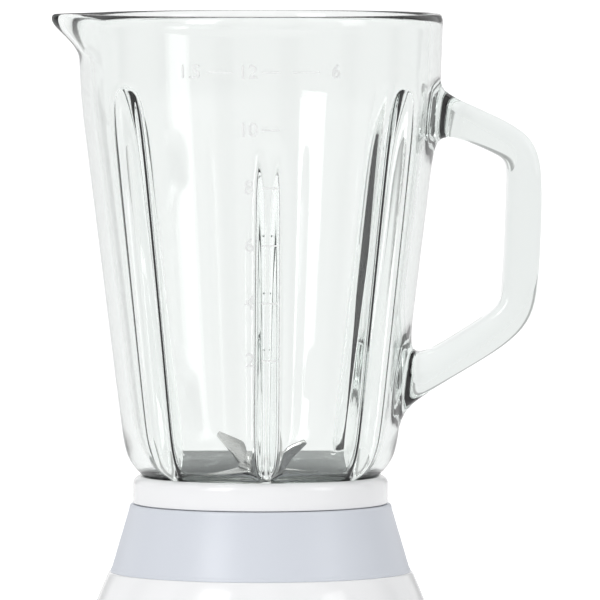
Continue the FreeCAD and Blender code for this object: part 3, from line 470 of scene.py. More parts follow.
# pressed powder: a speckle of pores that are darker and rougher than the skin
def makePorous(name, color, poreColor, metallic, roughness, pores=1600.0):
    material, tree, shader = newMaterial(name)
    place = addNode(tree, "ShaderNodeTexCoord")
    cells = addNode(tree, "ShaderNodeTexVoronoi", Scale=pores)
    edge = addNode(tree, "ShaderNodeMapRange")
    edge.inputs["From Min"].default_value = 0.15
    edge.inputs["From Max"].default_value = 0.45
    mix = addNode(tree, "ShaderNodeMix", data_type="RGBA")
    mix.inputs["A"].default_value = (*poreColor, 1)
    mix.inputs["B"].default_value = (*color, 1)
    gloss = addNode(tree, "ShaderNodeMapRange")
    gloss.inputs["To Min"].default_value = roughness + 0.25
    gloss.inputs["To Max"].default_value = roughness
    dent = addNode(tree, "ShaderNodeBump", Strength=0.25, Distance=0.0002)
    tree.links.new(place.outputs["Object"], cells.inputs["Vector"])
    tree.links.new(cells.outputs["Distance"], edge.inputs["Value"])
    tree.links.new(edge.outputs["Result"], mix.inputs["Factor"])
    tree.links.new(mix.outputs["Result"], shader.inputs["Base Color"])
    tree.links.new(edge.outputs["Result"], gloss.inputs["Value"])
    tree.links.new(gloss.outputs["Result"], shader.inputs["Roughness"])
    tree.links.new(edge.outputs["Result"], dent.inputs["Height"])
    tree.links.new(dent.outputs["Normal"], shader.inputs["Normal"])
    shader.inputs["Metallic"].default_value = metallic
    return material


# one material for each finish that the frame's record names
def makeFinishes():
    made = {
        "jar_glass": glass,
        "white_plastic": makePlastic(
            "glossWhitePlastic", (0.90, 0.905, 0.915), 0.18, grain=500.0, bump=0.015, coat=0.3),
        "blue_grey_plastic": makePlastic(
            "blueGreyPlastic", (0.67, 0.70, 0.76), 0.36, grain=1400.0, bump=0.06),
        "knob_white": makePlastic(
            "knobWhitePlastic", (0.88, 0.885, 0.895), 0.24, grain=900.0, bump=0.03, coat=0.15),
        "pointer_blue": makePlastic("pointerBluePlastic", (0.16, 0.22, 0.36), 0.3, grain=900.0, bump=0.03),
        "light_grey_plastic": makePlastic(
            "lightGreyPlastic", (0.70, 0.72, 0.75), 0.42, grain=1600.0, bump=0.10),
        "dark_plastic": makePlastic(
            "darkPlastic", (0.025, 0.025, 0.028), 0.42, grain=1500.0, bump=0.12, tint=0.008),
        "pin_white": makePlastic("acetalWhite", (0.78, 0.78, 0.77), 0.32, grain=800.0, bump=0.04),
        "foot_rubber": makePlastic(
            "footRubber", (0.032, 0.032, 0.035), 0.75, grain=2200.0, bump=0.25, tint=0.01),
        "seal_silicone": makePlastic("sealSilicone", (0.72, 0.74, 0.73), 0.46, grain=700.0, bump=0.05),
        "stainless": makeMetal(
            "brushedStainless", (0.66, 0.66, 0.65), 0.26, stretch=(0.08, 1, 1), scale=1800.0),
        "zinc_steel": makeMetal("zincPlatedSteel", (0.62, 0.64, 0.66), 0.28, scale=250.0, bump=0.03),
        "die_cast": makeMetal(
            "dieCastAlloy", (0.50, 0.51, 0.52), 0.52, scale=900.0, bump=0.35, variation=0.2),
        "lamination_steel": makeLayered(
            "laminatedSteel", (0.33, 0.34, 0.36), (0.10, 0.10, 0.11), 0.5 * mm, 0.9, 0.4),
        "copper_wire": makeLayered(
            "enamelledCopper", (0.62, 0.24, 0.10), (0.22, 0.07, 0.03), 0.6 * mm, 0.8, 0.26),
        "copper_bars": makeLayered(
            "turnedCopper", (0.78, 0.40, 0.22), (0.62, 0.30, 0.17), 0.25 * mm, 1.0, 0.22, bump=0.1),
        "bronze": makePorous("sinteredBronze", (0.52, 0.35, 0.16), (0.20, 0.13, 0.06), 0.9, 0.38),
        "carbon": makePorous(
            "pressedCarbon", (0.035, 0.035, 0.04), (0.012, 0.012, 0.013), 0.0, 0.5, pores=2200.0),
        "board_green": makePlastic("boardGreen", (0.03, 0.16, 0.07), 0.3, grain=350.0, bump=0.08, coat=0.3),
        "film_yellow": makePlastic(
            "filmYellow", (0.70, 0.48, 0.07), 0.34, grain=900.0, bump=0.03, coat=0.2),
    }
    return made


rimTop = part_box("glass_jar")[1].z
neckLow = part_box("glass_jar")[0].z
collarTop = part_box("collar")[1].z

jar = {
    "sides": 48,
    "wall": 4.8 * mm,
    "footHeight": 13.8 * mm,      # rounded bowl above the collar
    "footRadius": 52.1 * mm,
    "bandDrop": 32.3 * mm,        # rim zone above the taper
    "bandRadius": 67.9 * mm,
    "rimRadius": 69.2 * mm,
    "neckRadius": 41.5 * mm,
    "neckBore": 36.5 * mm,
    "sideRibs": (5, 19, 29, 43),  # columns of the cage, counted from the handle
    "frontRibs": (36,),
    "ribDepthHigh": 7.0 * mm,
    "ribDepthLow": 11.0 * mm,
    "ribPinch": 1.7,              # degrees that each edge of a rib's nose is turned in
    "ribDrop": 26.0 * mm,
    "frontRibDrop": 47.0 * mm,
    "ribRise": 30.0 * mm,         # height over which a rib grows to its upper depth
}

lip = {
    "reach": 10.4 * mm,
    "shoulder": 3.6 * mm,
    "pinch": 0.55,
    "heights": {2.0: 1.0, 5.0: 0.84, 9.0: 0.40},   # mm below the rim: share of the reach
}

handle = {
    "width": 20.0 * mm,
    "thickness": 13.2 * mm,
    "stations": [   # x, depth below the rim, slope in degrees from +X
        (76.0, 40.0, -18.0),
        (91.0, 46.6, -22.0),
        (97.8, 51.2, -52.0),
        (99.9, 59.0, -84.0),
        (99.2, 82.0, -91.0),
        (98.2, 103.0, -93.0),
        (96.6, 111.6, -112.0),
        (91.0, 118.0, -143.0),
        (78.0, 126.2, -148.5),
        (67.0, 133.0, -148.5),
    ],
    "topBlock": (45.8, 28.8),     # mm below the rim where it grows out of the wall
    "footBlock": (147.8, 128.3),
}


def wallRadius(z):
    low, high = collarTop + jar["footHeight"], rimTop - jar["bandDrop"]
    slope = (jar["bandRadius"] - jar["footRadius"]) / (high - low)
    if z > high:
        return jar["bandRadius"] + (jar["rimRadius"] - jar["bandRadius"]) * (z - high) / (rimTop - high)
    return jar["footRadius"] + slope * (z - low)


def below(drops):
    return [rimTop - d * mm for d in drops]


def jarOutline():
    wall = jar["wall"]
    foot = collarTop + jar["footHeight"]
    outline = [
        (jar["neckRadius"], neckLow + 0.3 * mm),
        (jar["neckRadius"], neckLow + 3 * mm),
        (jar["neckRadius"], collarTop - 3.0 * mm),
        (jar["neckRadius"] + 2.2 * mm, collarTop - 1.0 * mm),
        (jar["neckRadius"] + 6.6 * mm, collarTop + 3.2 * mm),
        (jar["footRadius"] - 1.1 * mm, collarTop + 8.2 * mm),
        (jar["footRadius"] + 0.1 * mm, foot + 1.5 * mm),
    ]
    outerDrops = [147.8, 138.0, 128.3, 112, 95, 78, 60, 45.8, 37.3, 28.8, 23, 18, 14.5, 9.0, 5.0, 2.0]
    outline += [(wallRadius(z), z) for z in below(outerDrops)]
    outline += [
        (jar["rimRadius"] - 0.15 * wall, rimTop + 0.05 * mm),
        (jar["rimRadius"] - 0.5 * wall, rimTop + 0.35 * mm),
        (jar["rimRadius"] - 0.85 * wall, rimTop + 0.05 * mm),
    ]
    innerDrops = [2.0, 5.0, 9.0, 14.5, 20, 27, 34, 42, 46, 56, 66, 78, 92, 108, 125, 140, 152]
    outline += [(wallRadius(z) - wall, z) for z in below(innerDrops)]
    outline += [
        (jar["footRadius"] - wall - 0.6 * mm, foot - 1.8 * mm),
        (jar["footRadius"] - wall - 3.2 * mm, foot - 7.0 * mm),
        (jar["neckBore"] + 4.6 * mm, collarTop + 3.8 * mm),
        (jar["neckBore"] + 1.2 * mm, collarTop + 2.2 * mm),
        (jar["neckBore"], collarTop - 0.6 * mm),
        (jar["neckBore"], neckLow + 3 * mm),
        (jar["neckBore"], neckLow + 0.3 * mm),
    ]
    return outline


# The number of the column of faces that a point of the jar lies in, 0 towards the handle.
def columnOf(point):
    step = 360 / jar["sides"]
    return round(math.degrees(math.atan2(point.y, point.x)) / step) % jar["sides"]


# The rim's top rows are pulled out towards -X, furthest in the middle.
def drawLip(piece):
    step = 2 * math.pi / jar["sides"]
    for drop, share in lip["heights"].items():
        level = rimTop - drop * mm
        top = drop < 3

        def inRow(p, low, high):
            near = abs(p.z - level) < 0.3 * mm or (top and p.z > level - 0.3 * mm)
            side = math.pi - abs(math.atan2(p.y, p.x))
            return near and low * step < side < high * step

        editSelection(piece, "VERT", lambda p: inRow(p, 0, 1))
        bpy.ops.transform.translate(value=(-lip["reach"] * share, 0, 0))
        bpy.ops.transform.resize(value=(1, 1 - (1 - lip["pinch"]) * share, 1), center_override=(0, 0, level))
        editSelection(piece, "VERT", lambda p: inRow(p, 1, 2))
        bpy.ops.transform.translate(value=(-lip["shoulder"] * share, 0, 0))
        bpy.ops.transform.resize(value=(1, 1 - 0.16 * share, 1), center_override=(0, 0, level))
    leaveEdit()


# how far a rib stands out of the wall at height z, when it starts drop below the rim
def ribDepthAt(z, drop):
    start = rimTop - drop
    rise = (start - z) / jar["ribRise"]
    if rise <= 0:
        return 0.0
    if rise < 1:
        return jar["ribDepthHigh"] * math.sin(rise * math.pi / 2)
    full = start - jar["ribRise"]
    share = (full - z) / (full - collarTop)
    return jar["ribDepthHigh"] + (jar["ribDepthLow"] - jar["ribDepthHigh"]) * share


def selectVertices(piece, chosen):
    editSelection(piece, "VERT", lambda p: False)
    leaveEdit()
    for i in chosen:
        piece.data.vertices[i].select = True
    bpy.ops.object.mode_set(mode="EDIT")


# chosen columns of the inner wall are pulled in towards the axis, row by row, and pinched to a fin
def raiseRibs(piece, columns, drop):
    low, top = collarTop + 3.0 * mm, rimTop - drop
    step = 360 / jar["sides"]

    def isRibFace(centre, normal):
        inward = normal.x * centre.x + normal.y * centre.y < -0.2 * math.hypot(centre.x, centre.y)
        return inward and columnOf(centre) in columns and low < centre.z < top

    editSelection(piece, "FACE", isRibFace)
    bpy.ops.mesh.extrude_region_move(TRANSFORM_OT_translate={"value": (0, 0, 0)})
    leaveEdit()
    tips = {v.index: v.co.copy() for v in piece.data.vertices if v.select}
    for z in sorted({round(p.z, 6) for p in tips.values()}):
        row = {i: p for i, p in tips.items() if abs(p.z - z) < 1e-5}
        radius = math.hypot(*next(iter(row.values())).xy)
        depth = ribDepthAt(z, drop)
        shrink = max((radius - depth) / radius, (jar["neckBore"] + 0.4 * mm) / radius)
        if z < collarTop + 5 * mm:
            shrink = max(shrink, 0.955)
        selectVertices(piece, row)
        bpy.ops.transform.resize(value=(shrink, shrink, 1), center_override=(0, 0, z))
        pinch = math.radians(jar["ribPinch"]) * min(1.0, depth / jar["ribDepthHigh"])
        for side in (-1, 1):
            edge = [i for i, p in row.items() if sideOfColumn(p, columns, step) == side]
            selectVertices(piece, edge)
            bpy.ops.transform.rotate(value=side * pinch, orient_axis="Z", center_override=(0, 0, z))
    leaveEdit()
    cleanUp(piece, 2e-5)


def sideOfColumn(point, columns, step):
    angle = math.degrees(math.atan2(point.y, point.x))
    offsets = [(angle - column * step + 180) % 360 - 180 for column in columns]
    return 1 if min(offsets, key=abs) > 0 else -1


# A block of the wall is drawn out along the handle's path, and its end is joined to the wall below.
def growHandle(piece):
    columns = (jar["sides"] - 1, 0, 1)

    def inBlock(block):
        low, high = rimTop - block[0] * mm, rimTop - block[1] * mm

        def test(centre, normal):
            outward = normal.x * centre.x + normal.y * centre.y > 0
            return outward and columnOf(centre) in columns and low < centre.z < high

        return test

    editSelection(piece, "FACE", inBlock(handle["topBlock"]))
    step = 2 * math.pi / jar["sides"]
    blockMiddle = rimTop - sum(handle["topBlock"]) / 2 * mm
    blockHalfWidth = wallRadius(blockMiddle) * math.sin(1.5 * step)
    blockHeight = (handle["topBlock"][0] - handle["topBlock"][1]) * mm
    x, z = wallRadius(blockMiddle), blockMiddle
    slope = 0.0
    for n, (nextX, drop, nextSlope) in enumerate(handle["stations"]):
        nextX, nextZ = nextX * mm, rimTop - drop * mm
        bpy.ops.mesh.extrude_region_move(TRANSFORM_OT_translate={"value": (nextX - x, 0, nextZ - z)})
        if n == 0:
            bpy.ops.transform.resize(value=(0, 1, 1), center_override=(nextX, 0, nextZ))
            narrow = handle["width"] / 2 / blockHalfWidth
            flat = handle["thickness"] / blockHeight
            bpy.ops.transform.resize(value=(1, narrow, flat), center_override=(nextX, 0, nextZ))
        turn = math.radians(nextSlope - slope)
        bpy.ops.transform.rotate(value=turn, orient_axis="Y", center_override=(nextX, 0, nextZ))
        x, z, slope = nextX, nextZ, nextSlope
    bpy.ops.mesh.delete(type="FACE")
    editSelection(piece, "FACE", inBlock(handle["footBlock"]))
    bpy.ops.mesh.delete(type="FACE")
    bpy.ops.mesh.select_mode(type="EDGE")
    bpy.ops.mesh.select_all(action="DESELECT")
    bpy.ops.mesh.select_non_manifold(extend=False)
    bpy.ops.mesh.bridge_edge_loops()
    leaveEdit()
    cleanUp(piece)


def makeJar():
    step = 2 * math.pi / jar["sides"]
    piece = lathe("jarGlassBody", jarOutline(), jar["sides"], turn=step / 2)
    drawLip(piece)
    raiseRibs(piece, jar["sideRibs"], jar["ribDrop"])
    raiseRibs(piece, jar["frontRibs"], jar["frontRibDrop"])
    growHandle(piece)
    subdivide(piece, 2)
    shadeSmooth(piece, 180)
    placePiece(piece, "jar", "jar_glass", glass, "glass_jar")
    print("jar:", len(piece.data.polygons), "faces")
    return piece


scale = {
    "rowDrop": 20.3 * mm,         # rim to the top row of numbers
    "rowStep": 21.5 * mm,
    "numbers": ("12", "10", "8", "6", "4", "2"),
    "size": 7.4 * mm,
    "raised": 0.16 * mm,
    "numberAngle": 263.3,         # degrees about the jar from the handle
    "tickAngles": (267.6, 273.4),
    "topLines": ((250.5, 258.6), (277.0, 286.0)),
    "topGroups": (("1.5", 244.6), ("6", 291.5)),
    "lineHeight": 0.7 * mm,
}


# a number as raised glass, stood against the wall at an angle about the jar
def raiseNumber(text, angle, z):
    deselectAll()
    lean = math.atan2(wallRadius(z + 10 * mm) - wallRadius(z), 10 * mm)
    bpy.ops.object.text_add(location=(0, -wallRadius(z), z), rotation=(math.pi / 2 + lean, 0, 0))
    number = bpy.context.object
    number.data.body = text
    number.data.size = scale["size"]
    number.data.extrude = scale["raised"]
    number.data.bevel_depth = 0.06 * mm
    number.data.align_x = "CENTER"
    number.data.align_y = "CENTER"
    bpy.ops.object.convert(target="MESH")
    number = bpy.context.object
    applyPlace()
    number.rotation_euler = (0, 0, math.radians(angle - 270))
    applyPlace()
    return number


# a thin raised line round the wall from one angle to another
def raiseLine(first, last, z):
    deselectAll()
    bpy.ops.mesh.primitive_plane_add(size=1, location=(wallRadius(z), 0, z), rotation=(math.pi / 2, 0, 0))
    line = bpy.context.object
    line.scale = (2 * scale["raised"], scale["lineHeight"], 1)
    applyPlace()
    line.rotation_euler = (0, 0, math.radians(first))
    applyPlace()
    bpy.ops.object.mode_set(mode="EDIT")
    bpy.ops.mesh.select_all(action="SELECT")
    bpy.ops.mesh.spin(steps=10, angle=math.radians(first - last), center=(0, 0, 0), axis=(0, 0, 1))
    leaveEdit()
    cleanUp(line)
    return line


def makeScale():
    marks = []
    for row, number in enumerate(scale["numbers"]):
        z = rimTop - scale["rowDrop"] - row * scale["rowStep"]
        marks.append(raiseNumber(number, scale["numberAngle"], z))
        marks.append(raiseLine(*scale["tickAngles"], z))
    top = rimTop - scale["rowDrop"]
    marks += [raiseLine(first, last, top) for first, last in scale["topLines"]]
    marks += [raiseNumber(text, angle, top) for text, angle in scale["topGroups"]]
    deselectAll()
    for mark in marks:
        mark.select_set(True)
    bpy.context.view_layer.objects.active = marks[0]
    bpy.ops.object.join()
    piece = bpy.context.object
    piece.name = "jarScale"
    placePiece(piece, "jar", "jar_glass", frostedGlass)
    print("scale:", len(scale["numbers"]), "rows")


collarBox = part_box("collar")
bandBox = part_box("trim_band")
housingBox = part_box("base_housing")

collarRing = {
    "radius": 48.2 * mm,
    "plug": 46.6 * mm,
    "bore": 43.8 * mm,
    "ledge": 38.0 * mm,
    "round": 3.0 * mm,
    "sides": 144,
}

trimBand = {
    "wall": 2.3 * mm,
    "topRadius": 49.3 * mm,
    "bottomRadius": 56.8 * mm,
    "seat": 47.0 * mm,
    "sides": 144,
}

housing = {
    "topRadius": 57.3 * mm,
    "bottomRadius": 87.2 * mm,
    "topSlope": 23.7,           # degrees from upright where the bell meets the band
    "wall": 2.6 * mm,
    "bore": 34.0 * mm,
    "rows": 22,
    "sides": 160,
}


def makeCollar():
    low, high = collarBox[0].z, collarBox[1].z
    shoulder = bandBox[1].z + 0.3 * mm
    r, plug, bore, ledge, rounding = (collarRing[k] for k in ("radius", "plug", "bore", "ledge", "round"))
    outline = [(ledge, low), (plug, low), (plug, shoulder), (r, shoulder), (r, high - rounding)]
    for k in range(1, 7):
        a = math.pi / 2 * k / 6
        outline.append((r - rounding + rounding * math.cos(a), high - rounding + rounding * math.sin(a)))
    outline += [(bore, high - 2.4 * mm), (bore, low + 2.9 * mm), (ledge, low + 2.9 * mm)]
    piece = lathe("collarRing", outline, collarRing["sides"])
    roundEdges(piece, 0.4 * mm)
    shadeSmooth(piece)
    placePiece(piece, "blade_unit", "white_plastic", finish["white_plastic"], "collar")


def makeBand():
    low, high = bandBox[0].z, bandBox[1].z
    top, bottom, wall, seat = (trimBand[k] for k in ("topRadius", "bottomRadius", "wall", "seat"))
    slope = (bottom - top) / (high - low)

    def at(z):
        return bottom - slope * (z - low)

    lipHeight, groove = 1.0 * mm, 0.22 * mm
    outline = [
        (bottom - wall, low), (bottom, low), (at(low + lipHeight), low + lipHeight),
        (at(low + lipHeight) - groove, low + lipHeight + groove),
        (at(low + 2 * lipHeight) - groove, low + 2 * lipHeight),
        (at(high - 1.8 * lipHeight) - groove, high - 1.8 * lipHeight),
        (at(high - lipHeight), high - lipHeight - groove),
        (top, high - 0.35 * mm), (top - 0.5 * mm, high), (seat, high), (seat, high - 4.9 * mm),
        (at(high - 4.9 * mm) - wall, high - 4.9 * mm),
    ]
    piece = lathe("trimBandCone", outline, trimBand["sides"])
    roundEdges(piece, 0.16 * mm, 2, 20)
    shadeSmooth(piece)
    placePiece(piece, "base", "blue_grey_plastic", finish["blue_grey_plastic"], "trim_band")


def bellRadius(z, inset=0.0):
    slope = math.radians(housing["topSlope"])
    top = Vector((housing["topRadius"], housingBox[1].z))
    foot = Vector((housing["bottomRadius"], housingBox[0].z))
    inward = Vector((-math.cos(slope), -math.sin(slope)))
    chord = foot - top
    radius = abs(chord.length_squared / (2 * chord.dot(inward)))
    centre = top + inward * radius
    return centre.x + math.sqrt((radius - inset) ** 2 - (z - centre.y) ** 2)


def makeHousing():
    low, high = housingBox[0].z, housingBox[1].z
    wall, rows = housing["wall"], housing["rows"]
    heights = [low + (high - low) * k / rows for k in range(rows + 1)]
    outline = [(bellRadius(z), z) for z in heights]
    outline.append((housing["bore"], high))
    outline.append((housing["bore"], high - wall))
    outline += [(bellRadius(z, wall), z) for z in reversed(heights[:-1]) if z < high - wall]
    piece = lathe("housingBell", outline, housing["sides"])
    roundEdges(piece, 0.8 * mm)
    cutInlet(piece)
    shadeSmooth(piece)
    placePiece(piece, "base", "white_plastic", finish["white_plastic"], "base_housing")


def cutInlet(piece):
    inletLow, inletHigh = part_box("cord_inlet")
    centreZ = (inletLow.z + inletHigh.z) / 2
    reach = inletHigh.y - inletLow.y
    deselectAll()
    bpy.ops.mesh.primitive_cylinder_add(vertices=48, radius=5.6 * mm, depth=reach * 2,
                                        location=(0, inletHigh.y, centreZ), rotation=(math.pi / 2, 0, 0))
    applyPlace()
    cutter = bpy.context.object
    hole = piece.modifiers.new("inletHole", "BOOLEAN")
    hole.operation = "DIFFERENCE"
    hole.object = cutter
    finishModifiers(piece)
    bpy.data.objects.remove(cutter)


knobJoint = next(joint for joint in frame["joints"] if joint["name"] == "knob_turn")
knobOrigin = Vector(knobJoint["pos_m"])
knobAxis = Vector(knobJoint["axis"])

knob = {
    "bottom": 2.3 * mm,           # above the bell, along the knob's axis
    "radius": 20.0 * mm,
    "skirt": 3.2 * mm,
    "waist": 18.7 * mm,
    "face": 16.7 * mm,
    "height": 14.0 * mm,
    "flutes": 28,
    "sidesPerFlute": 4,
    "fluteShare": 0.945,
    "sink": 0.5 * mm,             # the front face is dished
}

dial = {
    "radius": 25.5 * mm,
    "bottom": 1.0 * mm,
    "top": 2.0 * mm,
    "bore": 4.2 * mm,
    "markRadius": 22.9 * mm,
    "markSize": 3.7 * mm,
    "stops": {"0": 0, "1": -27, "2": -54, "3": -81, "4": -108, "5": -135},
    "pulseAngle": 45,
}

bezel = {
    "outer": 27.0 * mm,
    "inner": 25.55 * mm,
    "depth": 8.0 * mm,
    "proud": 2.2 * mm,
}

pointerBar = {
    "width": 1.9 * mm,
    "length": 10.2 * mm,
    "middle": 10.2 * mm,
    "bottom": 15.0 * mm,
    "height": 1.4 * mm,
}


# a piece built upright at the origin is stood on the knob's axis
def standOnKnobAxis(piece):
    makeActive(piece)
    piece.rotation_euler = (math.atan2(-knobAxis.y, knobAxis.z), 0, 0)
    piece.location = knobOrigin
    applyPlace()


def makeKnob():
    bottom, r, skirt, height = (knob[k] for k in ("bottom", "radius", "skirt", "height"))
    waist, face = knob["waist"], knob["face"]
    rounding = 1.5 * mm
    outline = [(0, 0.1 * mm), (r - 0.5 * mm, 0), (r, 0.5 * mm), (r, skirt - 0.7 * mm), (r - 0.6 * mm, skirt)]
    outline += [(waist, skirt + 0.25 * mm), (waist - 0.2 * mm, skirt + 1.6 * mm)]
    outline += [((waist + face) / 2, (skirt + height) / 2), (face + 0.1 * mm, height - rounding)]
    outline += [(face - 0.45 * mm, height - 0.45 * mm), (face - rounding, height)]
    outline += [(face * 0.6, height - knob["sink"]), (2 * mm, height - knob["sink"])]
    sides = knob["flutes"] * knob["sidesPerFlute"]
    piece = lathe("controlKnobGrip", outline, sides, closed=False)
    closePole(piece, height - knob["sink"])

    def inFlute(p):
        turn = math.degrees(math.atan2(p.y, p.x)) % 360
        column = round(turn * sides / 360) % knob["sidesPerFlute"]
        inHeight = skirt + 1.0 * mm < p.z < height - 0.2 * mm
        return column == 0 and inHeight and math.hypot(p.x, p.y) > face * 0.9

    editSelection(piece, "VERT", inFlute)
    bpy.ops.transform.resize(value=(knob["fluteShare"], knob["fluteShare"], 1), center_override=(0, 0, 0))
    leaveEdit()
    subdivide(piece, 1)
    makeActive(piece)
    piece.location = (0, 0, bottom)
    applyPlace()
    standOnKnobAxis(piece)
    shadeSmooth(piece, 60)
    placePiece(piece, "knob", "knob_white", finish["knob_white"], "control_knob")


# the open ring round the axis at height z is closed with a fan of faces
def closePole(piece, z):
    editSelection(piece, "VERT", lambda p: abs(p.z - z) < 1e-6 and math.hypot(p.x, p.y) < 3 * mm)
    bpy.ops.mesh.extrude_region_move(TRANSFORM_OT_translate={"value": (0, 0, 0)})
    bpy.ops.transform.resize(value=(0, 0, 1), center_override=(0, 0, z))
    leaveEdit()
    cleanUp(piece)


def makePointer():
    deselectAll()
    middle = pointerBar["bottom"] + pointerBar["height"] / 2
    bpy.ops.mesh.primitive_cube_add(size=1, location=(0, pointerBar["middle"], middle))
    piece = bpy.context.object
    piece.name = "knobPointerBar"
    piece.scale = (pointerBar["width"], pointerBar["length"], pointerBar["height"])
    applyPlace()
    outerEnd = pointerBar["middle"] + pointerBar["length"] / 2
    editSelection(piece, "VERT", lambda p: p.y > outerEnd - 0.1 * mm)
    bpy.ops.transform.resize(value=(0.55, 1, 1), center_override=(0, outerEnd, middle))   # tapers to its tip
    leaveEdit()
    roundEdges(piece, 0.4 * mm, 4)
    standOnKnobAxis(piece)
    shadeSmooth(piece)
    placePiece(piece, "knob", "pointer_blue", finish["pointer_blue"], "knob_pointer")


def makeDial():
    r, low, high, bore = (dial[k] for k in ("radius", "bottom", "top", "bore"))
    step = 0.35 * mm
    outline = [(bore, low), (r, low), (r, high - 0.2 * mm), (r - 0.2 * mm, high), (r - 1.0 * mm, high)]
    outline += [(r - 1.2 * mm, high - 0.2 * mm), (r - 4.9 * mm, high - 0.2 * mm), (r - 5.2 * mm, high - step)]
    outline += [(bore, high - step)]
    piece = lathe("dialDisc", outline, 128)
    roundEdges(piece, 0.1 * mm, 2)
    standOnKnobAxis(piece)
    shadeSmooth(piece)
    placePiece(piece, "base", "blue_grey_plastic", finish["blue_grey_plastic"], "dial_plate")


def dialPlace(angle, radius):
    turn = math.radians(angle)
    return -math.sin(turn) * radius, math.cos(turn) * radius


def makeDialMarks():
    marks = []
    level = dial["top"] - 0.25 * mm
    for text, angle in dial["stops"].items():
        x, y = dialPlace(angle, dial["markRadius"])
        deselectAll()
        bpy.ops.object.text_add(location=(x, y, level))
        number = bpy.context.object
        number.data.body = text
        number.data.size = dial["markSize"]
        number.data.extrude = 0.14 * mm
        number.data.align_x = "CENTER"
        number.data.align_y = "CENTER"
        bpy.ops.object.convert(target="MESH")
        applyPlace()
        marks.append(bpy.context.object)
    x, y = dialPlace(dial["pulseAngle"], dial["markRadius"])
    bpy.ops.mesh.primitive_uv_sphere_add(segments=24, ring_count=12, radius=0.75 * mm, location=(x, y, level))
    marks.append(bpy.context.object)
    marks[-1].scale = (1, 1, 0.4)
    applyPlace()
    deselectAll()
    for mark in marks:
        mark.select_set(True)
    bpy.context.view_layer.objects.active = marks[0]
    bpy.ops.object.join()
    piece = bpy.context.object
    piece.name = "dialMarks"
    standOnKnobAxis(piece)
    placePiece(piece, "base", "pointer_blue", finish["pointer_blue"])


def makeBezel():
    outer, inner, depth, proud = (bezel[k] for k in ("outer", "inner", "depth", "proud"))
    outline = [
        (inner, -depth), (outer + 0.5 * mm, -depth), (outer, proud - 0.7 * mm),
        (outer - 0.2 * mm, proud - 0.2 * mm), (outer - 0.7 * mm, proud),
        (inner + 0.25 * mm, proud), (inner, proud - 0.25 * mm),
    ]
    piece = lathe("dialBezel", outline, 160)
    standOnKnobAxis(piece)
    shadeSmooth(piece)
    placePiece(piece, "base", "white_plastic", finish["white_plastic"])


foot = {
    "inner": 66.0 * mm,
    "outer": 73.0 * mm,
    "round": 0.9 * mm,
    "grooves": 2,
    "grooveWidth": 1.0 * mm,
    "grooveDepth": 0.6 * mm,
}


def makeFootRing():
    low, high = (corner.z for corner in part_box("foot_ring"))
    inner, outer, rounding = foot["inner"], foot["outer"], foot["round"]
    outline = [(inner, high), (inner, low + rounding), (inner + 0.27 * rounding, low + 0.27 * rounding)]
    outline.append((inner + rounding, low))
    pitch = (outer - inner) / (foot["grooves"] + 1)
    for k in range(1, foot["grooves"] + 1):      # non-slip grooves in the sole
        middle, half = inner + pitch * k, foot["grooveWidth"] / 2
        outline += [(middle - half, low), (middle - half * 0.6, low + foot["grooveDepth"])]
        outline += [(middle + half * 0.6, low + foot["grooveDepth"]), (middle + half, low)]
    outline += [
        (outer - rounding, low), (outer - 0.27 * rounding, low + 0.27 * rounding),
        (outer, low + rounding), (outer, high),
    ]
    piece = lathe("footRingRubber", outline, 144)
    shadeSmooth(piece)
    placePiece(piece, "base", "foot_rubber", finish["foot_rubber"], "foot_ring")


inlet = {
    "bore": 3.9 * mm,
    "body": 5.4 * mm,
    "flange": 7.4 * mm,
    "proud": 2.6 * mm,
    "round": 0.9 * mm,
}


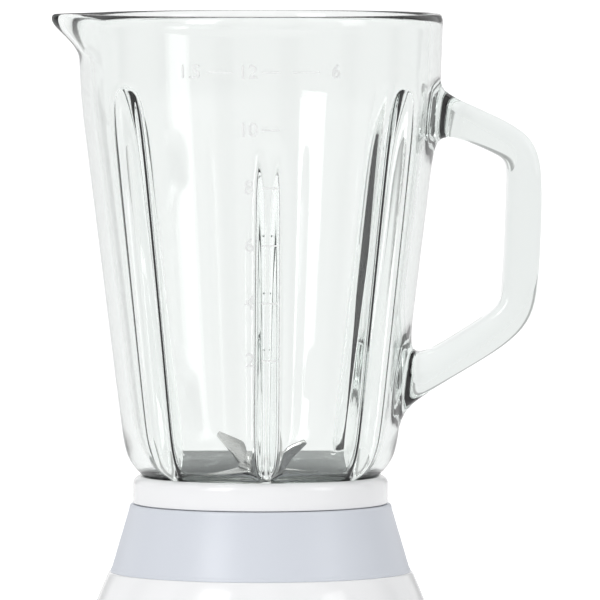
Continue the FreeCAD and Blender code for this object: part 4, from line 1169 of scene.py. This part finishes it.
def makeInlet():
    low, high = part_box("cord_inlet")
    length = high.y - low.y
    middle = (low.z + high.z) / 2
    seat = length - inlet["proud"]
    body, flange, bore, rounding = inlet["body"], inlet["flange"], inlet["bore"], inlet["round"]
    outline = [(bore + 0.4 * mm, 0), (body, 0), (body, seat), (flange, seat), (flange, length - rounding)]
    for k in range(1, 5):
        a = math.pi / 2 * k / 4
        across, along = rounding * math.cos(a), rounding * math.sin(a)
        outline.append((flange - rounding + across, length - rounding + along))
    outline += [
        (bore + 0.7 * mm, length), (bore + 0.2 * mm, length - 0.2 * mm),
        (bore, length - 0.7 * mm), (bore, 0.4 * mm),
    ]
    piece = lathe("cordInletGrommet", outline, 64)
    piece.rotation_euler = (-math.pi / 2, 0, 0)
    piece.location = (0, low.y, middle)
    applyPlace()
    shadeSmooth(piece)
    placePiece(piece, "base", "dark_plastic", finish["dark_plastic"], "cord_inlet")


refined = {   # frame node: width of the rounding on its sharp edges, in mm
    "lower_blade": 0.30,
    "upper_blade": 0.30,
    "blade_nut": 0.35,
    "jar_seat": 0.25,
    "driven_coupling": 0.30,
    "drive_coupling": 0.30,
    "interlock_pin": 0.20,
    "blade_carrier": 0.30,
    "bottom_cover": 0.30,
    "jar_gasket": 0.40,
}


# a copy of a frame node with its triangles merged and its sharp edges rounded takes its place
def refineNode(node, width):
    source = frame["nodes"][node]
    body, slot = source["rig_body"], slotOf[node]
    makeActive(source)
    bpy.ops.object.duplicate()
    piece = bpy.context.object
    piece.name = node + "_rounded"
    piece.parent = None
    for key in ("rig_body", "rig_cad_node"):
        del piece[key]
    cleanUp(piece, 2e-6)
    bpy.ops.object.mode_set(mode="EDIT")
    bpy.ops.mesh.select_all(action="SELECT")
    bpy.ops.mesh.dissolve_limited(angle_limit=math.radians(0.6))
    leaveEdit()
    roundEdges(piece, width * mm, 2, 38)
    shadeSmooth(piece, 38)
    placePiece(piece, body, slot, finish[slot], node)


def finishFrameNodes():
    for node, piece in frame["nodes"].items():
        for place in piece.material_slots:
            place.material = finish[slotOf[node]]


setCamera()
lightStudio()
layFloor()
print("studio ready")

slotOf = {part["node"]: part["material_slot"] for part in frame["record"]["subparts"]}
grainGroup = makeGrainGroup()
glass = makeJarGlass()
frostedGlass = makeFrostedGlass()
finish = makeFinishes()
print("materials ready:", len(finish))

makeJar()
makeScale()
makeCollar()
makeBand()
makeHousing()
print("jar, collar and housing ready")

makeKnob()
makePointer()
makeDial()
makeDialMarks()
makeBezel()
makeFootRing()
makeInlet()
print("knob, dial and foot ready")

for node, width in refined.items():
    refineNode(node, width)
finishFrameNodes()
print("inner pieces ready")
